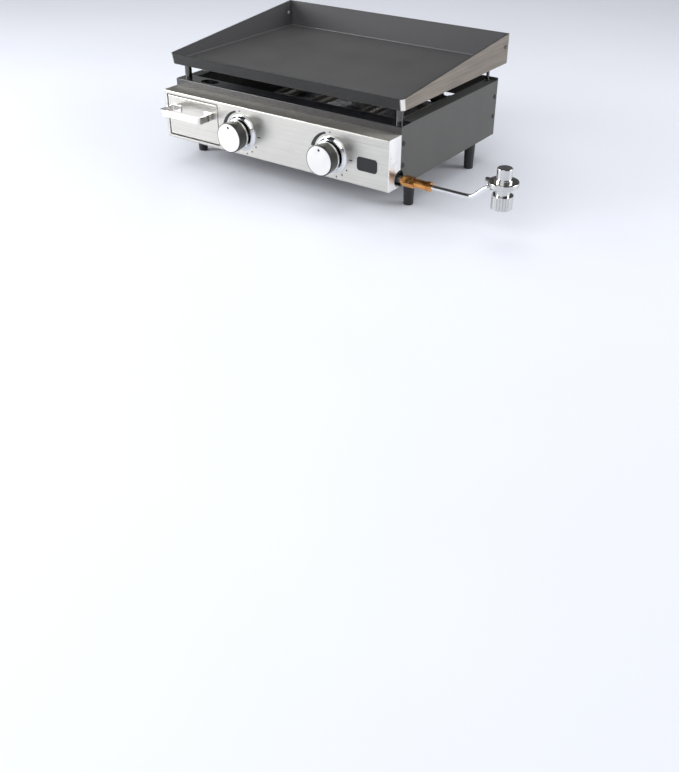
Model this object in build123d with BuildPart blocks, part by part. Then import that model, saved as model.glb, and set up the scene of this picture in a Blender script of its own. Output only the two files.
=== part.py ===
from build123d import *
import os

# Two-burner flat top gas griddle for a table top.
#
# Frame: millimetres, +Z up, -Y towards the cook, +X towards the gas inlet.
# The origin is on the surface that the legs stand on, under the middle of the cooking plate.

os.makedirs("parts", exist_ok=True)

# ---------------------------------------------------------------- driving sizes
# Cooking plate
plate_width = 560.0
plate_depth = 402.0
plate_floor = 4.5
plate_wall = 2.5
front_lip_height = 20.5
back_wall_height = 58.5
lip_lean = 4.0
plate_corner_radius = 9.0
splash_sheet = 1.5
splash_flange = 20.0
splash_rivet_height = 34.0
splash_rivet_inset = 12.0
splash_rivet_radius = 4.0
splash_rivet_head = 1.6
splash_rivet_shank = 2.0
splash_rivet_edge = 1.2

# Cabinet under the plate
side_overhang = 5.0
front_overhang = 8.0
back_overhang = 22.0
body_height = 113.0
plate_gap = 30.0
frame_sheet = 1.5
rail_width = 25.0
foot_flange_width = 38.0
ledge_depth = 36.0
ledge_lip = 14.0
ledge_inner_lip = 10.0
back_rise = 4.5
back_flange = 12.0
vent_length = 60.0
vent_width = 8.0
vent_pitch = 90.0
vent_columns = 5
floor_vent_rows = 7
floor_vent_spacing = 32.0
back_vent_rows = 2
back_vent_spacing = 24.0
back_vent_drop = 60.0

# Plate feet
foot_radius = 7.0
foot_back_radius = 3.3
foot_washer_radius = 6.0
foot_washer = 1.5
foot_inset_x = 17.0
foot_inset_front = 19.5
foot_inset_back = 14.5
foot_pin_radius = 2.5
foot_pin_length = 6.0

# Legs
leg_height = 52.0
leg_top_radius = 11.0
leg_tip_radius = 9.5
leg_edge = 2.0
leg_inset_x = 10.5
leg_inset_front = 52.0
leg_inset_back = 82.0
leg_screw_radius = 3.0
leg_screw_length = 19.0
leg_bore_spare = 3.0
leg_screw_head_radius = 5.0
leg_screw_head = 3.2
leg_screw_edge = 0.5

# Control panel
bay_depth = 39.0
panel_sheet = 1.2
panel_bend = 2.5
panel_bottom_gap = 1.5
knob_height = 99.5
knob_drawer_gap = 62.5
knob_side_gap = 127.0
stem_hole_radius = 7.0
badge_side_gap = 47.0
badge_height = 96.5
badge_size_x = 44.0
badge_size_z = 26.0
badge_sheet = 1.0
badge_corner = 6.0
badge_edge = 0.3

# Grease drawer
drawer_side_margin = 9.5
drawer_width = 133.0
drawer_height = 80.0
drawer_bottom = 62.0
drawer_gap = 2.2
drawer_return = 8.0
drawer_corner = 1.5
tray_sheet = 1.0
tray_height = 66.0
tray_side_gap = 5.0
tray_back_gap = 2.5
tray_corner = 4.0
grease_hole_length = 42.0
grease_hole_width = 24.0
grease_hole_inset = 18.3
drain_radius = 10.0
drain_collar = 2.0
drain_drop = 6.0
guide_sheet = 1.5
guide_foot = 12.0
guide_height = 26.0
guide_gap = 0.5
tray_joint_height = 22.0
handle_width = 108.0
handle_depth = 39.0
handle_strip = 13.0
handle_sheet = 2.0
handle_bend = 4.0
handle_height = 117.5
handle_foot = 22.0
handle_rivet_radius = 2.6
handle_rivet_shank = 1.3
handle_rivet_head = 1.2
handle_rivet_edge = 0.6

# Knobs, bezels and gas valves
bezel_radius = 35.5
bezel_flange = 3.0
bezel_lip_radius = 30.5
bezel_lip = 7.0
bezel_wall = 2.6
bezel_floor = 1.6
knob_travel = 4.0
knob_back = 18.0
knob_front = 40.0
knob_back_radius = 28.0
knob_front_radius = 29.5
knob_wall = 3.0
knob_edge = 1.6
knob_hub_radius = 8.0
knob_ring_radius = 28.75
knob_ring_width = 5.0
knob_ring_depth = 4.0
knob_cap_margin = 1.6
knob_cap_sheet = 1.2
knob_cap_proud = 0.4
knob_cap_edge = 0.2
knob_ring_edge = 0.8
dot_radius = 2.6
dot_offset = 20.0
dot_depth = 0.5
stem_radius = 4.0
stem_flat = 1.0
stem_reach = 18.0
valve_radius = 12.0
valve_length = 40.0
valve_flange_width = 44.0
valve_flange_height = 18.0
valve_flange_sheet = 3.0
valve_base_width = 20.0
plug_radius = 7.0
plug_length = 20.0
plug_back_wall = 8.0
orifice_hex = 10.0
orifice_hex_length = 7.0
orifice_tip_radius = 3.2
orifice_tip_length = 8.0
orifice_bore = 0.6
orifice_edge = 1.0

# Gas manifold and inlet
inlet_inset = 2.6
inlet_height = 69.5
inlet_hole_radius = 16.0
manifold_radius = 9.5
manifold_bore = 7.5
manifold_edge = 2.4
manifold_end_wall = 4.0
manifold_end_margin = 28.0
manifold_side_gap = 13.0
boss_radius = 8.0
boss_height = 14.5
boss_bore = 3.0
nipple_radius = 6.5
nipple_bore = 3.5
nipple_reach = 24.0
inlet_nut_start = 7.6
inlet_ring = 5.0
inlet_ring_radius = 8.4
fitting_edge = 0.9
inlet_nut_hex = 18.2
inlet_nut_length = 22.4
inlet_sleeve_radius = 8.0
inlet_sleeve_length = 25.5
inlet_collar_radius = 8.8
inlet_collar_length = 8.0
flute_count = 18
flute_depth = 0.6

# Burners
burner_tube_radius = 10.0
burner_sheet = 1.0
burner_height = 122.0
burner_leg_spacing = 92.0
burner_leg_front = -101.0
burner_leg_back = 129.0
burner_bar_y = -66.0
burner_spigot = 8.0
port_radius = 1.2
port_pitch = 12.0
port_margin = 14.0
port_lift = 4.5
venturi_radius = 10.0
venturi_mouth_radius = 13.0
venturi_mouth_length = 10.0
venturi_gap = 1.6
venturi_bend = 30.0
venturi_low_run = 38.0
venturi_rise_run = 32.0
crossover_radius = 7.0
crossover_height = 124.0
reflector_sheet = 1.2
reflector_height = 21.0
reflector_inset = 20.0
reflector_end_gap = 7.0
rest_depth = 28.0
rest_y = 98.0
rest_inset = 25.0
igniter_radius = 3.5
igniter_height = 36.0
igniter_rod_radius = 1.3
igniter_rod = 14.0
igniter_edge = 1.2
igniter_seat = 3.5
igniter_offset_x = 20.0
igniter_y = -92.0

# Regulator at the end of the gas line
tube_radius = 4.2
tube_bore = 3.0
tube_seat = 18.0
tube_bend_x = 427.0
tube_rise_x = 454.0
tube_first_bend = 26.0
tube_second_bend = 20.0
regulator_x = 485.0
regulator_inlet_height = 95.0
regulator_neck_radius = 13.0
regulator_neck_bottom = 88.0
regulator_neck_top = 103.0
regulator_case_radius = 27.0
regulator_case_half = 5.0
regulator_case_edge = 2.0
regulator_bonnet_radius = 13.5
regulator_bonnet_top = 136.5
regulator_bonnet_foot = 16.0
regulator_bonnet_foot_height = 4.0
regulator_boss_radius = 7.0
regulator_boss_reach = 2.2
tube_nut_hex = 13.0
tube_nut_length = 6.5
vent_plug_radius = 6.6
vent_plug_length = 7.5
vent_plug_stub_radius = 1.5
vent_plug_stub_length = 3.7
vent_plug_edge = 1.8
vent_plug_height = 106.2
coupling_radius = 19.0
coupling_bottom = 64.0
coupling_thread_radius = 12.3
coupling_thread_length = 13.0
coupling_relief_radius = 14.5
coupling_relief = 4.5
coupling_flutes = 24
coupling_flute_depth = 0.8
spigot_radius = 11.0
spigot_flange_radius = 13.5
spigot_flange = 3.0

# Screws that hold the side panels
panel_screw_radius = 2.0
panel_screw_head_radius = 4.5
panel_screw_head = 2.2
panel_screw_edge = 1.1
screw_cross_length = 4.6
screw_cross_width = 1.1
screw_cross_depth = 1.3
panel_screw_length = 8.0
panel_screw_front_inset = 9.3
panel_screw_back_inset = 9.0
panel_screw_heights = (40.0, 81.0)

# Clearances
seat = 0.1  # between pieces that are fastened together
slip = 0.4  # radial, between a loose pin and its hole
mouth_gap = 1.2  # radial, round the venturi's mouth
running = 0.06  # radial, between a shaft and its bearing
free = 0.6  # round a screw's shank

# ---------------------------------------------------------------- places worked out from the sizes
plate_front = -plate_depth / 2
plate_back = plate_depth / 2
body_half = plate_width / 2 - side_overhang
body_front = plate_front + front_overhang
body_back = plate_back - back_overhang
drawer_x = -body_half + drawer_side_margin + drawer_width / 2
knob_x_left = drawer_x + drawer_width / 2 + knob_drawer_gap
knob_x_right = body_half - knob_side_gap
badge_x = body_half - badge_side_gap
body_bottom = leg_height
body_top = body_bottom + body_height
plate_bottom = body_top + plate_gap
plate_top = plate_bottom + plate_floor
lip_top = plate_bottom + front_lip_height
wall_top = plate_bottom + back_wall_height
ledge_back = body_front + ledge_depth
panel_face = body_front - bay_depth
panel_back = body_front + frame_sheet
panel_top = body_top - ledge_lip - seat
panel_bottom = body_bottom + panel_bottom_gap
inner_half = body_half - frame_sheet
floor_z = body_bottom + frame_sheet + seat
floor_top = floor_z + panel_sheet
firebox_front = ledge_back + panel_sheet
firebox_back = body_back - frame_sheet
side_end = firebox_back - seat
grease_y = body_front + grease_hole_inset
inlet_y = body_front - inlet_inset
reflector_top = floor_top + reflector_height
knob_places = {"left": knob_x_left, "right": knob_x_right}
sides = {"left": -1, "right": 1}
foot_x = body_half - foot_inset_x
foot_rows = (body_front + foot_inset_front, body_back - foot_inset_back)
leg_x = body_half - leg_inset_x
leg_rows = {"front": body_front + leg_inset_front, "back": body_back - leg_inset_back}
panel_screw_rows = (body_front + panel_screw_front_inset, body_back - panel_screw_back_inset)
panel_screw_places = [(y, body_bottom + height) for y in panel_screw_rows for height in panel_screw_heights]
slant = Plane(
    origin=(0, plate_front, lip_top),
    x_dir=(1, 0, 0),
    z_dir=(0, lip_top - wall_top, plate_depth),
)


def save(piece, name):
    """Label a finished piece and write its STEP file."""
    piece.part.label = name
    export_step(piece.part, f"parts/{name}.step")
    print(name, round(piece.part.volume))


def box_between(low, high, mode=Mode.ADD):
    """A box given by two opposite corners."""
    middle = [(a + b) / 2 for a, b in zip(low, high)]
    with Locations(tuple(middle)):
        return Box(*[abs(b - a) for a, b in zip(low, high)], mode=mode)


def rod(start, end, radius, mode=Mode.ADD):
    """A straight round rod between two points."""
    a, b = Vector(*start), Vector(*end)
    with Locations(Plane(origin=a, z_dir=b - a)):
        Cylinder(radius, (b - a).length, align=(Align.CENTER, Align.CENTER, Align.MIN), mode=mode)


# ---------------------------------------------------------------- cooking plate
def pan_outline(height, inset, back):
    """Outline of the pan at a height above its underside; the front lip leans out as it rises."""
    front = plate_front + lip_lean * (1 - height / front_lip_height) + inset
    with Locations((0, (front + back) / 2)):
        Rectangle(plate_width - 2 * inset, back - front)
    fillet(vertices().group_by(Axis.Y)[0], plate_corner_radius - inset)


with BuildPart() as griddle_plate:
    for height in (0, back_wall_height):
        with BuildSketch(Plane.XY.offset(plate_bottom + height)):
            pan_outline(height, 0, plate_back)
    loft()
    for height in (plate_floor, back_wall_height + plate_floor):
        with BuildSketch(Plane.XY.offset(plate_bottom + height)):
            pan_outline(height, plate_wall, plate_back + plate_wall)
    loft(mode=Mode.SUBTRACT)
    split(bisect_by=slant, keep=Keep.BOTTOM)
    rod((drawer_x, grease_y, plate_bottom - drain_drop), (drawer_x, grease_y, plate_bottom + seat),
        drain_radius + drain_collar)
    rod((drawer_x, grease_y, plate_bottom - drain_drop), (drawer_x, grease_y, plate_top),
        drain_radius, mode=Mode.SUBTRACT)
    rivet_y = plate_back - splash_rivet_inset
    rivet_z = plate_bottom + splash_rivet_height
    rod((-plate_width, rivet_y, rivet_z), (plate_width, rivet_y, rivet_z),
        splash_rivet_shank + seat, mode=Mode.SUBTRACT)
save(griddle_plate, "griddle_plate")

splash_half = plate_width / 2 - plate_wall - seat
with BuildPart() as back_splash:
    box_between((-splash_half, plate_back - splash_flange, plate_top + seat),
                (splash_half, plate_back, wall_top + plate_wall))
    box_between((-splash_half + splash_sheet, plate_back - splash_flange, plate_top),
                (splash_half - splash_sheet, plate_back - splash_sheet, wall_top + plate_wall),
                mode=Mode.SUBTRACT)
    split(bisect_by=slant, keep=Keep.BOTTOM)
    rod((-plate_width, rivet_y, rivet_z), (plate_width, rivet_y, rivet_z),
        splash_rivet_shank + seat, mode=Mode.SUBTRACT)
save(back_splash, "back_splash")

with BuildPart() as splash_rivets:
    for side in sides.values():
        outer = side * plate_width / 2
        inner = side * (splash_half - splash_sheet)
        head = side * splash_rivet_head
        rod((inner - head, rivet_y, rivet_z), (outer + head, rivet_y, rivet_z), splash_rivet_shank)
        rod((outer, rivet_y, rivet_z), (outer + head, rivet_y, rivet_z), splash_rivet_radius)
        rod((inner, rivet_y, rivet_z), (inner - head, rivet_y, rivet_z), splash_rivet_radius)
    rims = edges().filter_by(GeomType.CIRCLE).filter_by(lambda e: e.radius > splash_rivet_shank + seat)
    outer_rims = rims.filter_by(lambda e: abs(e.center().X) > plate_width / 2 + seat)
    inner_rims = rims.filter_by(lambda e: abs(e.center().X) < splash_half - splash_sheet - seat)
    fillet(outer_rims + inner_rims, splash_rivet_edge)
save(splash_rivets, "splash_rivets")

# Four stand-offs carry the plate, stout in front and slim at the back, where each has a washer.
# Their pins drop into the ledge and the side rails.
with BuildPart() as plate_feet:
    for x in (-foot_x, foot_x):
        for y, radius in zip(foot_rows, (foot_radius, foot_back_radius)):
            rod((x, y, body_top), (x, y, plate_bottom), radius)
            rod((x, y, body_top - foot_pin_length), (x, y, body_top), foot_pin_radius)
        rod((x, foot_rows[1], body_top), (x, foot_rows[1], body_top + foot_washer), foot_washer_radius)
save(plate_feet, "plate_feet")


# ---------------------------------------------------------------- cabinet
def side_panel(side):
    """A side wall with its top rail, foot flange, screw holes and, on the right, the gas inlet."""
    outer = side * body_half
    inner = side * inner_half
    with BuildPart() as panel:
        box_between((inner, panel_back, body_bottom), (outer, side_end, body_top - frame_sheet - seat))
        box_between((outer, ledge_back, body_top - frame_sheet),
                    (outer - side * rail_width, side_end, body_top))
        box_between((outer, ledge_back, body_top - 2 * frame_sheet), (inner, side_end, body_top))
        box_between((outer, panel_back, body_bottom),
                    (outer - side * foot_flange_width, side_end, body_bottom + frame_sheet))
        top_edge = edges().filter_by(Axis.Y).group_by(Axis.Z)[-1].sort_by(Axis.X)
        fillet(top_edge[-1 if side > 0 else 0], frame_sheet)
        rod((side * foot_x, foot_rows[1], body_top - plate_gap), (side * foot_x, foot_rows[1], body_top),
            foot_pin_radius + slip, mode=Mode.SUBTRACT)
        for y in leg_rows.values():
            rod((side * leg_x, y, body_bottom), (side * leg_x, y, floor_top), leg_screw_radius + free,
                mode=Mode.SUBTRACT)
        for y, z in panel_screw_places:
            rod((side * body_half, y, z), (side * (inner_half - seat), y, z), panel_screw_radius + free,
                mode=Mode.SUBTRACT)
        if side > 0:
            rod((inner, inlet_y, inlet_height), (outer, inlet_y, inlet_height), inlet_hole_radius,
                mode=Mode.SUBTRACT)
    return panel


for name, side in sides.items():
    save(side_panel(side), f"side_panel_{name}")

# Front ledge: a folded channel that bridges the side walls under the plate's front lip.
with BuildPart() as front_ledge:
    box_between((-body_half, body_front, body_top - frame_sheet), (body_half, ledge_back, body_top))
    box_between((-body_half, body_front, body_top - ledge_lip), (body_half, panel_back, body_top))
    box_between((-inner_half + seat, ledge_back - frame_sheet, body_top - ledge_inner_lip),
                (inner_half - seat, ledge_back, body_top))
    fillet(edges().filter_by(Axis.X).group_by(Axis.Z)[-1].sort_by(Axis.Y)[0], frame_sheet)
    with BuildSketch(Plane.XY.offset(body_top)):
        with Locations((drawer_x, grease_y)):
            SlotOverall(grease_hole_length, grease_hole_width)
    extrude(amount=-frame_sheet, mode=Mode.SUBTRACT)
    for x in (-foot_x, foot_x):
        rod((x, foot_rows[0], body_top - frame_sheet), (x, foot_rows[0], body_top),
            foot_pin_radius + slip, mode=Mode.SUBTRACT)
save(front_ledge, "front_ledge")

# Wall between the control bay and the hot firebox, pierced for the two venturi tubes.
with BuildPart() as firebox_wall:
    box_between((-inner_half + seat, ledge_back, floor_z),
                (inner_half - seat, firebox_front, body_top - frame_sheet - seat))
    for x in knob_places.values():
        rod((x, ledge_back, knob_height), (x, firebox_front, knob_height), venturi_mouth_radius + mouth_gap,
            mode=Mode.SUBTRACT)
save(firebox_wall, "firebox_wall")

with BuildPart() as floor_pan:
    box_between((-inner_half + seat, firebox_front + seat, floor_z),
                (inner_half - seat, firebox_back - seat, floor_top))
    with BuildSketch(Plane.XY.offset(floor_top)):
        with Locations((0, (firebox_front + firebox_back) / 2)):
            with GridLocations(vent_pitch, floor_vent_spacing, vent_columns, floor_vent_rows):
                SlotOverall(vent_length, vent_width)
    extrude(amount=-panel_sheet, mode=Mode.SUBTRACT)
    for x in (-leg_x, leg_x):
        for y in leg_rows.values():
            rod((x, y, floor_z), (x, y, floor_top), leg_screw_radius + free, mode=Mode.SUBTRACT)
save(floor_pan, "floor_pan")

# Rear wall: it closes the side walls' ends, stands a little above the rails, and has a flange folded
# forward at each end that the side walls are screwed to.
with BuildPart() as back_panel:
    box_between((-body_half, firebox_back, body_bottom), (body_half, body_back, body_top + back_rise))
    for side in sides.values():
        face = side * (inner_half - seat)
        box_between((face, firebox_back - back_flange, floor_top + seat),
                    (face - side * frame_sheet, body_back, body_top - 2 * frame_sheet - seat))
        for y, z in panel_screw_places:
            if y > 0:
                rod((face, y, z), (face - side * frame_sheet, y, z), panel_screw_radius + free,
                    mode=Mode.SUBTRACT)
    with BuildSketch(Plane.XZ.offset(-body_back)):
        with Locations((0, body_top - back_vent_drop)):
            with GridLocations(vent_pitch, back_vent_spacing, vent_columns, back_vent_rows):
                SlotOverall(vent_length, vent_width)
    extrude(amount=frame_sheet, mode=Mode.SUBTRACT)
save(back_panel, "back_panel")

# Bright tray under the burners that throws the heat up and keeps the table cool.
reflector_half = inner_half - reflector_inset
with BuildPart() as heat_reflector:
    front = firebox_front + reflector_end_gap
    back = firebox_back - back_flange - reflector_end_gap
    box_between((-reflector_half, front, floor_top), (reflector_half, back, reflector_top))
    fillet(edges().filter_by(Axis.Z), panel_bend)
    box_between((-reflector_half + reflector_sheet, front + reflector_sheet, floor_top),
                (reflector_half - reflector_sheet, back - reflector_sheet, reflector_top - reflector_sheet),
                mode=Mode.SUBTRACT)
save(heat_reflector, "heat_reflector")


# ---------------------------------------------------------------- legs and fasteners
def leg(x, y):
    """A tapered leg, bored for the screw that clamps it to the foot flange."""
    with BuildPart() as piece:
        for height, radius in ((0, leg_tip_radius), (leg_height, leg_top_radius)):
            with BuildSketch(Plane(origin=(x, y, height))):
                Circle(radius)
        loft()
        fillet(edges().group_by(Axis.Z)[0], leg_edge)
        bore_end = leg_height - leg_screw_length - leg_bore_spare
        rod((x, y, bore_end), (x, y, leg_height), leg_screw_radius + seat,
            mode=Mode.SUBTRACT)
    return piece


for row, y in leg_rows.items():
    for name, side in sides.items():
        save(leg(side * leg_x, y), f"leg_{row}_{name}")

with BuildPart() as leg_screws:
    for x in (-leg_x, leg_x):
        for y in leg_rows.values():
            rod((x, y, leg_height - leg_screw_length), (x, y, floor_top), leg_screw_radius)
            rod((x, y, floor_top), (x, y, floor_top + leg_screw_head), leg_screw_head_radius)
    chamfer(edges().group_by(Axis.Z)[-1], leg_screw_edge)
save(leg_screws, "leg_screws")

with BuildPart() as panel_screws:
    for side in sides.values():
        for y, z in panel_screw_places:
            face = side * body_half
            rod((face, y, z), (face - side * panel_screw_length, y, z), panel_screw_radius)
            rod((face, y, z), (face + side * panel_screw_head, y, z), panel_screw_head_radius)
    heads = edges().filter_by(GeomType.CIRCLE).filter_by(
        lambda e: abs(e.center().X) > body_half + seat)
    fillet(heads, panel_screw_edge)
    arms = ((screw_cross_length / 2, screw_cross_width / 2), (screw_cross_width / 2, screw_cross_length / 2))
    for side in sides.values():
        crown = side * (body_half + panel_screw_head)
        for y, z in panel_screw_places:
            for reach_y, reach_z in arms:
                box_between((crown, y - reach_y, z - reach_z),
                            (crown - side * screw_cross_depth, y + reach_y, z + reach_z), mode=Mode.SUBTRACT)
save(panel_screws, "panel_screws")

# ---------------------------------------------------------------- control panel
opening_low = drawer_bottom - drawer_gap
opening_high = drawer_bottom + drawer_height + drawer_gap
opening_half = drawer_width / 2 + drawer_gap
with BuildPart() as control_panel:
    box_between((-body_half, panel_face, panel_bottom), (body_half, panel_back - seat, panel_top))
    outer_bends = edges().filter_by(Axis.Z).group_by(Axis.Y)[0]
    outer_bends += edges().filter_by(Axis.X).group_by(Axis.Y)[0]
    fillet(outer_bends, panel_bend)
    box_between((-body_half + panel_sheet, panel_face + panel_sheet, panel_bottom + panel_sheet),
                (body_half - panel_sheet, panel_back, panel_top - panel_sheet), mode=Mode.SUBTRACT)
    box_between((drawer_x - opening_half, panel_face, opening_low),
                (drawer_x + opening_half, panel_face + panel_bend, opening_high), mode=Mode.SUBTRACT)
    for x in knob_places.values():
        rod((x, panel_face, knob_height), (x, panel_face + panel_bend, knob_height), stem_hole_radius,
            mode=Mode.SUBTRACT)
    rod((body_half - panel_bend, inlet_y, inlet_height), (body_half, inlet_y, inlet_height),
        inlet_hole_radius, mode=Mode.SUBTRACT)
save(control_panel, "control_panel")

# Plain plaque, with no marking.
with BuildPart() as badge_plate:
    with BuildSketch(Plane.XZ.offset(-panel_face)):
        with Locations((badge_x, badge_height)):
            RectangleRounded(badge_size_x, badge_size_z, badge_corner)
    extrude(amount=badge_sheet)
    fillet(edges().group_by(Axis.Y)[0], badge_edge)
save(badge_plate, "badge_plate")

# ---------------------------------------------------------------- grease drawer
drawer_top = drawer_bottom + drawer_height
drawer_half = drawer_width / 2
with BuildPart() as drawer_front:
    box_between((drawer_x - drawer_half, panel_face, drawer_bottom),
                (drawer_x + drawer_half, panel_face + drawer_return, drawer_top))
    fillet(edges().group_by(Axis.Y)[0], drawer_corner)
    box_between((drawer_x - drawer_half + panel_sheet, panel_face + panel_sheet,
                 drawer_bottom + panel_sheet),
                (drawer_x + drawer_half - panel_sheet, panel_face + drawer_return, drawer_top - panel_sheet),
                mode=Mode.SUBTRACT)
    for side in sides.values():
        x = drawer_x + side * (handle_width / 2 - handle_foot / 2)
        rod((x, panel_face, handle_height), (x, panel_face + panel_sheet, handle_height),
            handle_rivet_shank + seat, mode=Mode.SUBTRACT)
save(drawer_front, "drawer_front")

tray_half = drawer_half - tray_side_gap
tray_front = panel_face + panel_sheet + seat
tray_back = ledge_back - frame_sheet - tray_back_gap
tray_low = drawer_bottom + panel_sheet + guide_sheet + seat
tray_top = tray_low + tray_height
tray_wall_front = tray_front + handle_rivet_head + seat
tray_middle = (drawer_x, (tray_wall_front + tray_back) / 2)
with BuildPart() as grease_tray:
    for trim, mode in ((0, Mode.ADD), (tray_sheet, Mode.SUBTRACT)):
        with BuildSketch(Plane.XY.offset(tray_low + trim)):
            with Locations(tray_middle):
                RectangleRounded(2 * (tray_half - trim), tray_back - tray_wall_front - 2 * trim,
                                 tray_corner - trim)
        extrude(amount=tray_height, mode=mode)
    split(bisect_by=Plane.XY.offset(tray_top), keep=Keep.BOTTOM)
    box_between((drawer_x - tray_half / 2, tray_front, tray_low + tray_sheet),
                (drawer_x + tray_half / 2, tray_wall_front + tray_sheet / 2, tray_low + tray_joint_height))
save(grease_tray, "grease_tray")

# U-shaped pull: one bent strip, with its feet turned in and riveted to the drawer front.
with BuildPart() as drawer_handle:
    half = handle_width / 2
    grip_y = panel_face - handle_depth
    foot_end = half - handle_foot
    with BuildSketch(Plane.XY.offset(handle_height - handle_strip / 2)):
        with BuildLine():
            FilletPolyline(
                (drawer_x - foot_end, panel_face - handle_sheet / 2),
                (drawer_x - half + handle_sheet / 2, panel_face - handle_sheet / 2),
                (drawer_x - half + handle_sheet / 2, grip_y + handle_sheet / 2),
                (drawer_x + half - handle_sheet / 2, grip_y + handle_sheet / 2),
                (drawer_x + half - handle_sheet / 2, panel_face - handle_sheet / 2),
                (drawer_x + foot_end, panel_face - handle_sheet / 2),
                radius=handle_bend,
            )
            offset(amount=handle_sheet / 2, side=Side.BOTH)
        make_face()
    extrude(amount=handle_strip)
    for side in sides.values():
        x = drawer_x + side * (half - handle_foot / 2)
        rod((x, panel_face - handle_sheet, handle_height), (x, panel_face, handle_height),
            handle_rivet_shank + seat, mode=Mode.SUBTRACT)
save(drawer_handle, "drawer_handle")

with BuildPart() as handle_rivets:
    for side in sides.values():
        x = drawer_x + side * (handle_width / 2 - handle_foot / 2)
        front = panel_face - handle_sheet
        back = panel_face + panel_sheet
        rod((x, front - handle_rivet_head, handle_height), (x, back + handle_rivet_head, handle_height),
            handle_rivet_shank)
        rod((x, front - handle_rivet_head, handle_height), (x, front, handle_height), handle_rivet_radius)
        rod((x, back, handle_height), (x, back + handle_rivet_head, handle_height), handle_rivet_radius)
    fillet(edges().filter_by(GeomType.CIRCLE).group_by(Axis.Y)[0], handle_rivet_edge)
save(handle_rivets, "handle_rivets")


def drawer_guide(side):
    """An angle that the tray slides on, fixed to the firebox wall's lip and clear of the panel."""
    inner = drawer_x + side * (tray_half - guide_foot)
    outer = drawer_x + side * (tray_half + guide_sheet + guide_gap)
    low = drawer_bottom + panel_sheet
    with BuildPart() as guide:
        front = panel_face + drawer_return + guide_gap
        box_between((inner, front, low), (outer, ledge_back, low + guide_sheet))
        box_between((outer - side * guide_sheet, front, low), (outer, ledge_back, low + guide_height))
    return guide


for name, side in sides.items():
    save(drawer_guide(side), f"drawer_guide_{name}")

# ---------------------------------------------------------------- gas manifold and valves
manifold_start = knob_x_left - manifold_end_margin
manifold_end = body_half - manifold_side_gap
nipple_end = body_half + nipple_reach
boss_top = inlet_height + boss_height
with BuildPart() as manifold_pipe:
    rod((manifold_start, inlet_y, inlet_height), (manifold_end, inlet_y, inlet_height), manifold_radius)
    fillet(edges().group_by(Axis.X)[0], manifold_edge)
    rod((manifold_end, inlet_y, inlet_height), (nipple_end, inlet_y, inlet_height), nipple_radius)
    for x in knob_places.values():
        rod((x, inlet_y, inlet_height), (x, inlet_y, boss_top), boss_radius)
    wall = manifold_radius - manifold_bore
    rod((manifold_start + wall, inlet_y, inlet_height), (manifold_end - wall, inlet_y, inlet_height),
        manifold_bore, mode=Mode.SUBTRACT)
    rod((manifold_end - manifold_end_wall, inlet_y, inlet_height), (nipple_end, inlet_y, inlet_height),
        nipple_bore, mode=Mode.SUBTRACT)
    for x in knob_places.values():
        rod((x, inlet_y, inlet_height), (x, inlet_y, boss_top), boss_bore, mode=Mode.SUBTRACT)
save(manifold_pipe, "manifold_pipe")

valve_front = panel_face + panel_sheet + seat
valve_back = valve_front + valve_length
plug_back = valve_back - plug_back_wall
plug_front = plug_back - plug_length
stem_back = plug_front + stem_reach - knob_travel - 2 * seat


def valve_body(x):
    """A valve that sits on the manifold's boss and is screwed to the back of the panel."""
    with BuildPart() as valve:
        rod((x, valve_front, knob_height), (x, valve_back, knob_height), valve_radius)
        box_between((x - valve_flange_width / 2, valve_front, knob_height - valve_flange_height / 2),
                    (x + valve_flange_width / 2, valve_front + valve_flange_sheet,
                     knob_height + valve_flange_height / 2))
        box_between((x - valve_base_width / 2, inlet_y - boss_radius, boss_top + seat),
                    (x + valve_base_width / 2, valve_back, knob_height))
        rod((x, valve_front, knob_height), (x, plug_front, knob_height), stem_radius + slip,
            mode=Mode.SUBTRACT)
        rod((x, plug_front - seat, knob_height), (x, plug_back, knob_height), plug_radius,
            mode=Mode.SUBTRACT)
        rod((x, plug_back, knob_height), (x, valve_back, knob_height), boss_bore, mode=Mode.SUBTRACT)
        rod((x, inlet_y, boss_top), (x, inlet_y, knob_height), boss_bore, mode=Mode.SUBTRACT)
    return valve


def valve_plug(x):
    """The plug that turns in the valve; the stem slides in its socket."""
    with BuildPart() as plug:
        rod((x, plug_front, knob_height), (x, plug_back - seat, knob_height), plug_radius - running)
        rod((x, plug_front, knob_height), (x, plug_front + stem_reach, knob_height), stem_radius + slip,
            mode=Mode.SUBTRACT)
    return plug


def valve_stem(x):
    """The spring-loaded stem, with a flat that keys it to the knob."""
    front = panel_face - knob_front + knob_wall + 2 * knob_cap_sheet
    with BuildPart() as stem:
        rod((x, front, knob_height), (x, stem_back, knob_height), stem_radius)
        box_between((x - stem_radius, front, knob_height + stem_radius - stem_flat),
                    (x + stem_radius, panel_face - knob_back, knob_height + stem_radius), mode=Mode.SUBTRACT)
    return stem


def orifice(x):
    """The brass spud that squirts gas into the venturi."""
    with BuildPart() as spud:
        with BuildSketch(Plane.XZ.offset(-valve_back - seat)):
            with Locations((x, knob_height)):
                RegularPolygon(orifice_hex / 2, 6, major_radius=False)
        extrude(amount=-orifice_hex_length)
        start = valve_back + seat + orifice_hex_length
        rod((x, start, knob_height), (x, start + orifice_tip_length, knob_height), orifice_tip_radius)
        chamfer(edges().group_by(Axis.Y)[-1], orifice_edge)
        rod((x, valve_back, knob_height), (x, start + orifice_tip_length, knob_height), orifice_bore,
            mode=Mode.SUBTRACT)
    return spud


# ---------------------------------------------------------------- bezels and knobs
def ahead(distance):
    """The Y position at a distance in front of the control panel's face."""
    return panel_face - distance


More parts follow.
